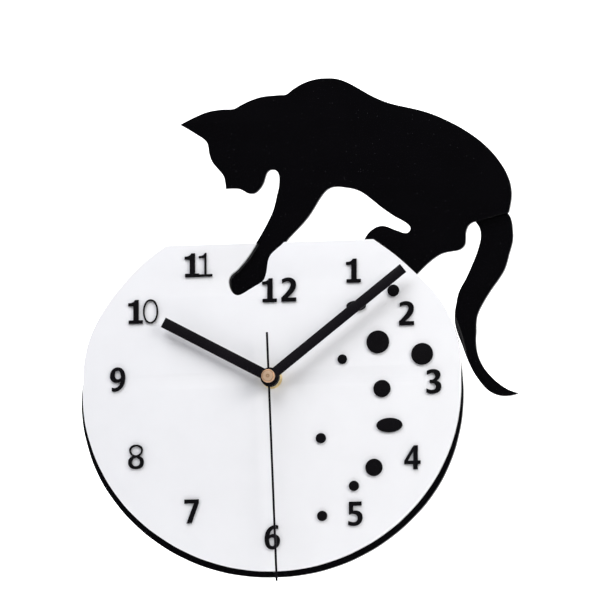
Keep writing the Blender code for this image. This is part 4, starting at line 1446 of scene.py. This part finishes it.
@dataclass
class SwingModule(SubAssembly):
    """The magnetic module behind the rump that keeps the tail swinging."""

    soft: float = 0.4 * MM
    soft_lever: float = 0.1 * MM
    soft_foam: float = 0.3 * MM
    wire: float = 0.12 * MM

    def build(self) -> None:
        """Rounds the case and cover, winds the coil and dresses the lever."""
        for name, node in (("swing_shell", "swing_case"), ("swing_back", "swing_cover")):
            self.hand_in(name, softened(node, self.frame, self.soft, 3), Body.CLOCK,
                         CASE_PLASTIC, Slot.BLACK_PLASTIC, node)
        lever = softened("swing_arm", self.frame, self.soft_lever)
        self.hand_in("swing_lever", lever, Body.TAIL, WHEEL_PLASTIC, Slot.WHITE_PLASTIC,
                     "swing_arm")
        self.dress(PLAIN_STEEL, "arm_magnet")
        foam = softened("adhesive_pad", self.frame, self.soft_foam)
        self.hand_in("foam_block", foam, Body.CLOCK, PAD_FOAM, Slot.FOAM, "adhesive_pad")
        self.coil()

    def coil(self) -> None:
        """Winds the drive coil in one layer of wire."""
        low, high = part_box("swing_coil")
        front, back, radius = -low.y, -high.y, (high.x - low.x) / 2
        wire = self.wire
        turn = Matrix.Rotation(math.radians(90), 4, "X")
        x, z = self.middle("swing_coil")
        place = Matrix.Translation((x, -(back + wire), z)) @ turn
        length = front - back - 2 * wire
        mesh = SpiralWire(self.palette.get(WIRE_COPPER)).run(
            place, Turns=length / (2 * wire), Steps=24, Radius=radius - wire, Length=length,
            Wire=wire)
        self.hand_in("swing_winding", mesh, Body.CLOCK, WIRE_COPPER, Slot.COPPER, "swing_coil")


# ------------------------------------------------------------------ studio

@dataclass
class Studio:
    """Backdrop, lights and camera. The sizes are in metres."""

    floor_at: float = -0.42
    wall_at: float = 1.1
    azimuth_deg: float = 12.0
    elevation_deg: float = -8.5
    distance: float = 9.0
    frame_width: float = 0.3632
    aim: tuple[float, float, float] = (0.0201, -0.0225, 0.0432)
    paper_bend: float = 0.5
    paper_reach: float = 0.36
    paper_top: float = 2.6
    paper_side: float = 3.0
    paper_steps: int = 12
    paper_glow: float = 0.85
    room_glow: float = 0.035

    def build(self) -> None:
        """Sets up everything that isn't the clock."""
        self.camera()
        self.backdrop()
        self.world()
        self.lights()

    def camera(self) -> None:
        """Looks at the clock from low on its right."""
        data = bpy.data.cameras.new("camera")
        camera = bpy.data.objects.new("camera", data)
        bpy.context.scene.collection.objects.link(camera)
        turn, rise = math.radians(self.azimuth_deg), math.radians(self.elevation_deg)
        away = Vector((math.sin(turn) * math.cos(rise), -math.cos(turn) * math.cos(rise),
                       math.sin(rise)))
        camera.location = Vector(self.aim) + away * self.distance
        camera.rotation_euler = (-away).to_track_quat("-Z", "Y").to_euler()
        data.lens = data.sensor_width * self.distance / self.frame_width
        data.clip_start = 0.05
        bpy.context.scene.camera = camera

    def backdrop(self) -> None:
        """Sweeps one pale sheet from the floor up behind the clock."""
        bend = self.paper_bend
        path = [(-self.paper_reach, self.floor_at), (self.wall_at - bend, self.floor_at)]
        for step in range(1, self.paper_steps + 1):
            turn = math.pi / 2 * step / self.paper_steps
            path.append((self.wall_at - bend + bend * math.sin(turn),
                         self.floor_at + bend - bend * math.cos(turn)))
        path.append((self.wall_at, self.paper_top))
        work = bmesh.new()
        rows = [[work.verts.new((x, y, z)) for x in (-self.paper_side, self.paper_side)]
                for y, z in path]
        for first, second in zip(rows, rows[1:]):
            work.faces.new((first[0], first[1], second[1], second[0]))
        sheet = new_object("paper_sweep", to_mesh(work, "paper_sweep", outward=False),
                           self.paper())

    def paper(self) -> bpy.types.Material:
        """Makes glowing white paper that shows from its front only.

        Returns:
            The paper's material.
        """
        material = bpy.data.materials.new("pale_paper")
        material.use_nodes = True
        nodes, links = material.node_tree.nodes, material.node_tree.links
        shader = nodes["Principled BSDF"]
        shader.inputs["Base Color"].default_value = (0.85, 0.85, 0.85, 1.0)
        shader.inputs["Roughness"].default_value = 0.95
        shader.inputs["Emission Color"].default_value = (1.0, 1.0, 1.0, 1.0)
        shader.inputs["Emission Strength"].default_value = self.paper_glow
        one_sided = nodes.new("ShaderNodeMixShader")
        side = nodes.new("ShaderNodeNewGeometry")
        links.new(side.outputs["Backfacing"], one_sided.inputs[0])
        links.new(shader.outputs[0], one_sided.inputs[1])
        links.new(nodes.new("ShaderNodeBsdfTransparent").outputs[0], one_sided.inputs[2])
        links.new(one_sided.outputs[0], nodes["Material Output"].inputs["Surface"])
        return material

    def world(self) -> None:
        """Shows a pale room, but lights the clock with a dark one so that black stays black."""
        world = bpy.data.worlds.new("room")
        bpy.context.scene.world = world
        world.use_nodes = True
        nodes, links = world.node_tree.nodes, world.node_tree.links
        dark = nodes["Background"]
        dark.inputs["Color"].default_value = (0.9, 0.92, 1.0, 1.0)
        dark.inputs["Strength"].default_value = self.room_glow
        pale = nodes.new("ShaderNodeBackground")
        pale.inputs["Color"].default_value = (0.55, 0.56, 0.58, 1.0)
        seen = nodes.new("ShaderNodeMixShader")
        links.new(nodes.new("ShaderNodeLightPath").outputs["Is Camera Ray"], seen.inputs[0])
        links.new(dark.outputs[0], seen.inputs[1])
        links.new(pale.outputs[0], seen.inputs[2])
        links.new(seen.outputs[0], nodes["World Output"].inputs["Surface"])
        bpy.context.scene.view_settings.view_transform = "Standard"

    def lights(self) -> None:
        """Hangs a soft key at the right, a wide top light and a faint fill at the left."""
        self.area("key", (1.3, -0.78, 0.55), 0.8, 18.0, (1.0, 0.985, 0.96))
        self.area("top", (-0.25, -0.95, 1.5), 1.3, 30.0, (0.97, 0.98, 1.0))
        self.area("left_fill", (-1.5, -0.7, 0.4), 1.2, 10.0, (0.96, 0.96, 1.0))

    def area(self, name: str, place: tuple[float, float, float], size: float, power: float,
             colour: Colour) -> None:
        """Adds a square area light that faces the dial.

        Args:
            name: The light's name.
            place: Where it hangs.
            size: Its side.
            power: Its power in watts.
            colour: Its colour.
        """
        data = bpy.data.lights.new(name, "AREA")
        data.size = size
        data.energy = power
        data.color = colour
        light = bpy.data.objects.new(name, data)
        bpy.context.scene.collection.objects.link(light)
        light.location = place
        toward = Vector(self.aim) - Vector(place)
        light.rotation_euler = toward.to_track_quat("-Z", "Y").to_euler()


def main() -> None:
    """Loads the frame, sets up the studio and builds the clock."""
    logging.basicConfig(level=logging.INFO, format="%(name)s: %(message)s")
    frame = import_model()
    Studio().build()
    palette = Palette()
    builders: tuple[Callable[[dict, Palette], SubAssembly], ...] = (
        AcrylicSheets, DialFigures, HandSet, Movement, DryCells, SwingModule)
    for make in builders:
        make(frame, palette).build()


if __name__ == "__main__":
    main()
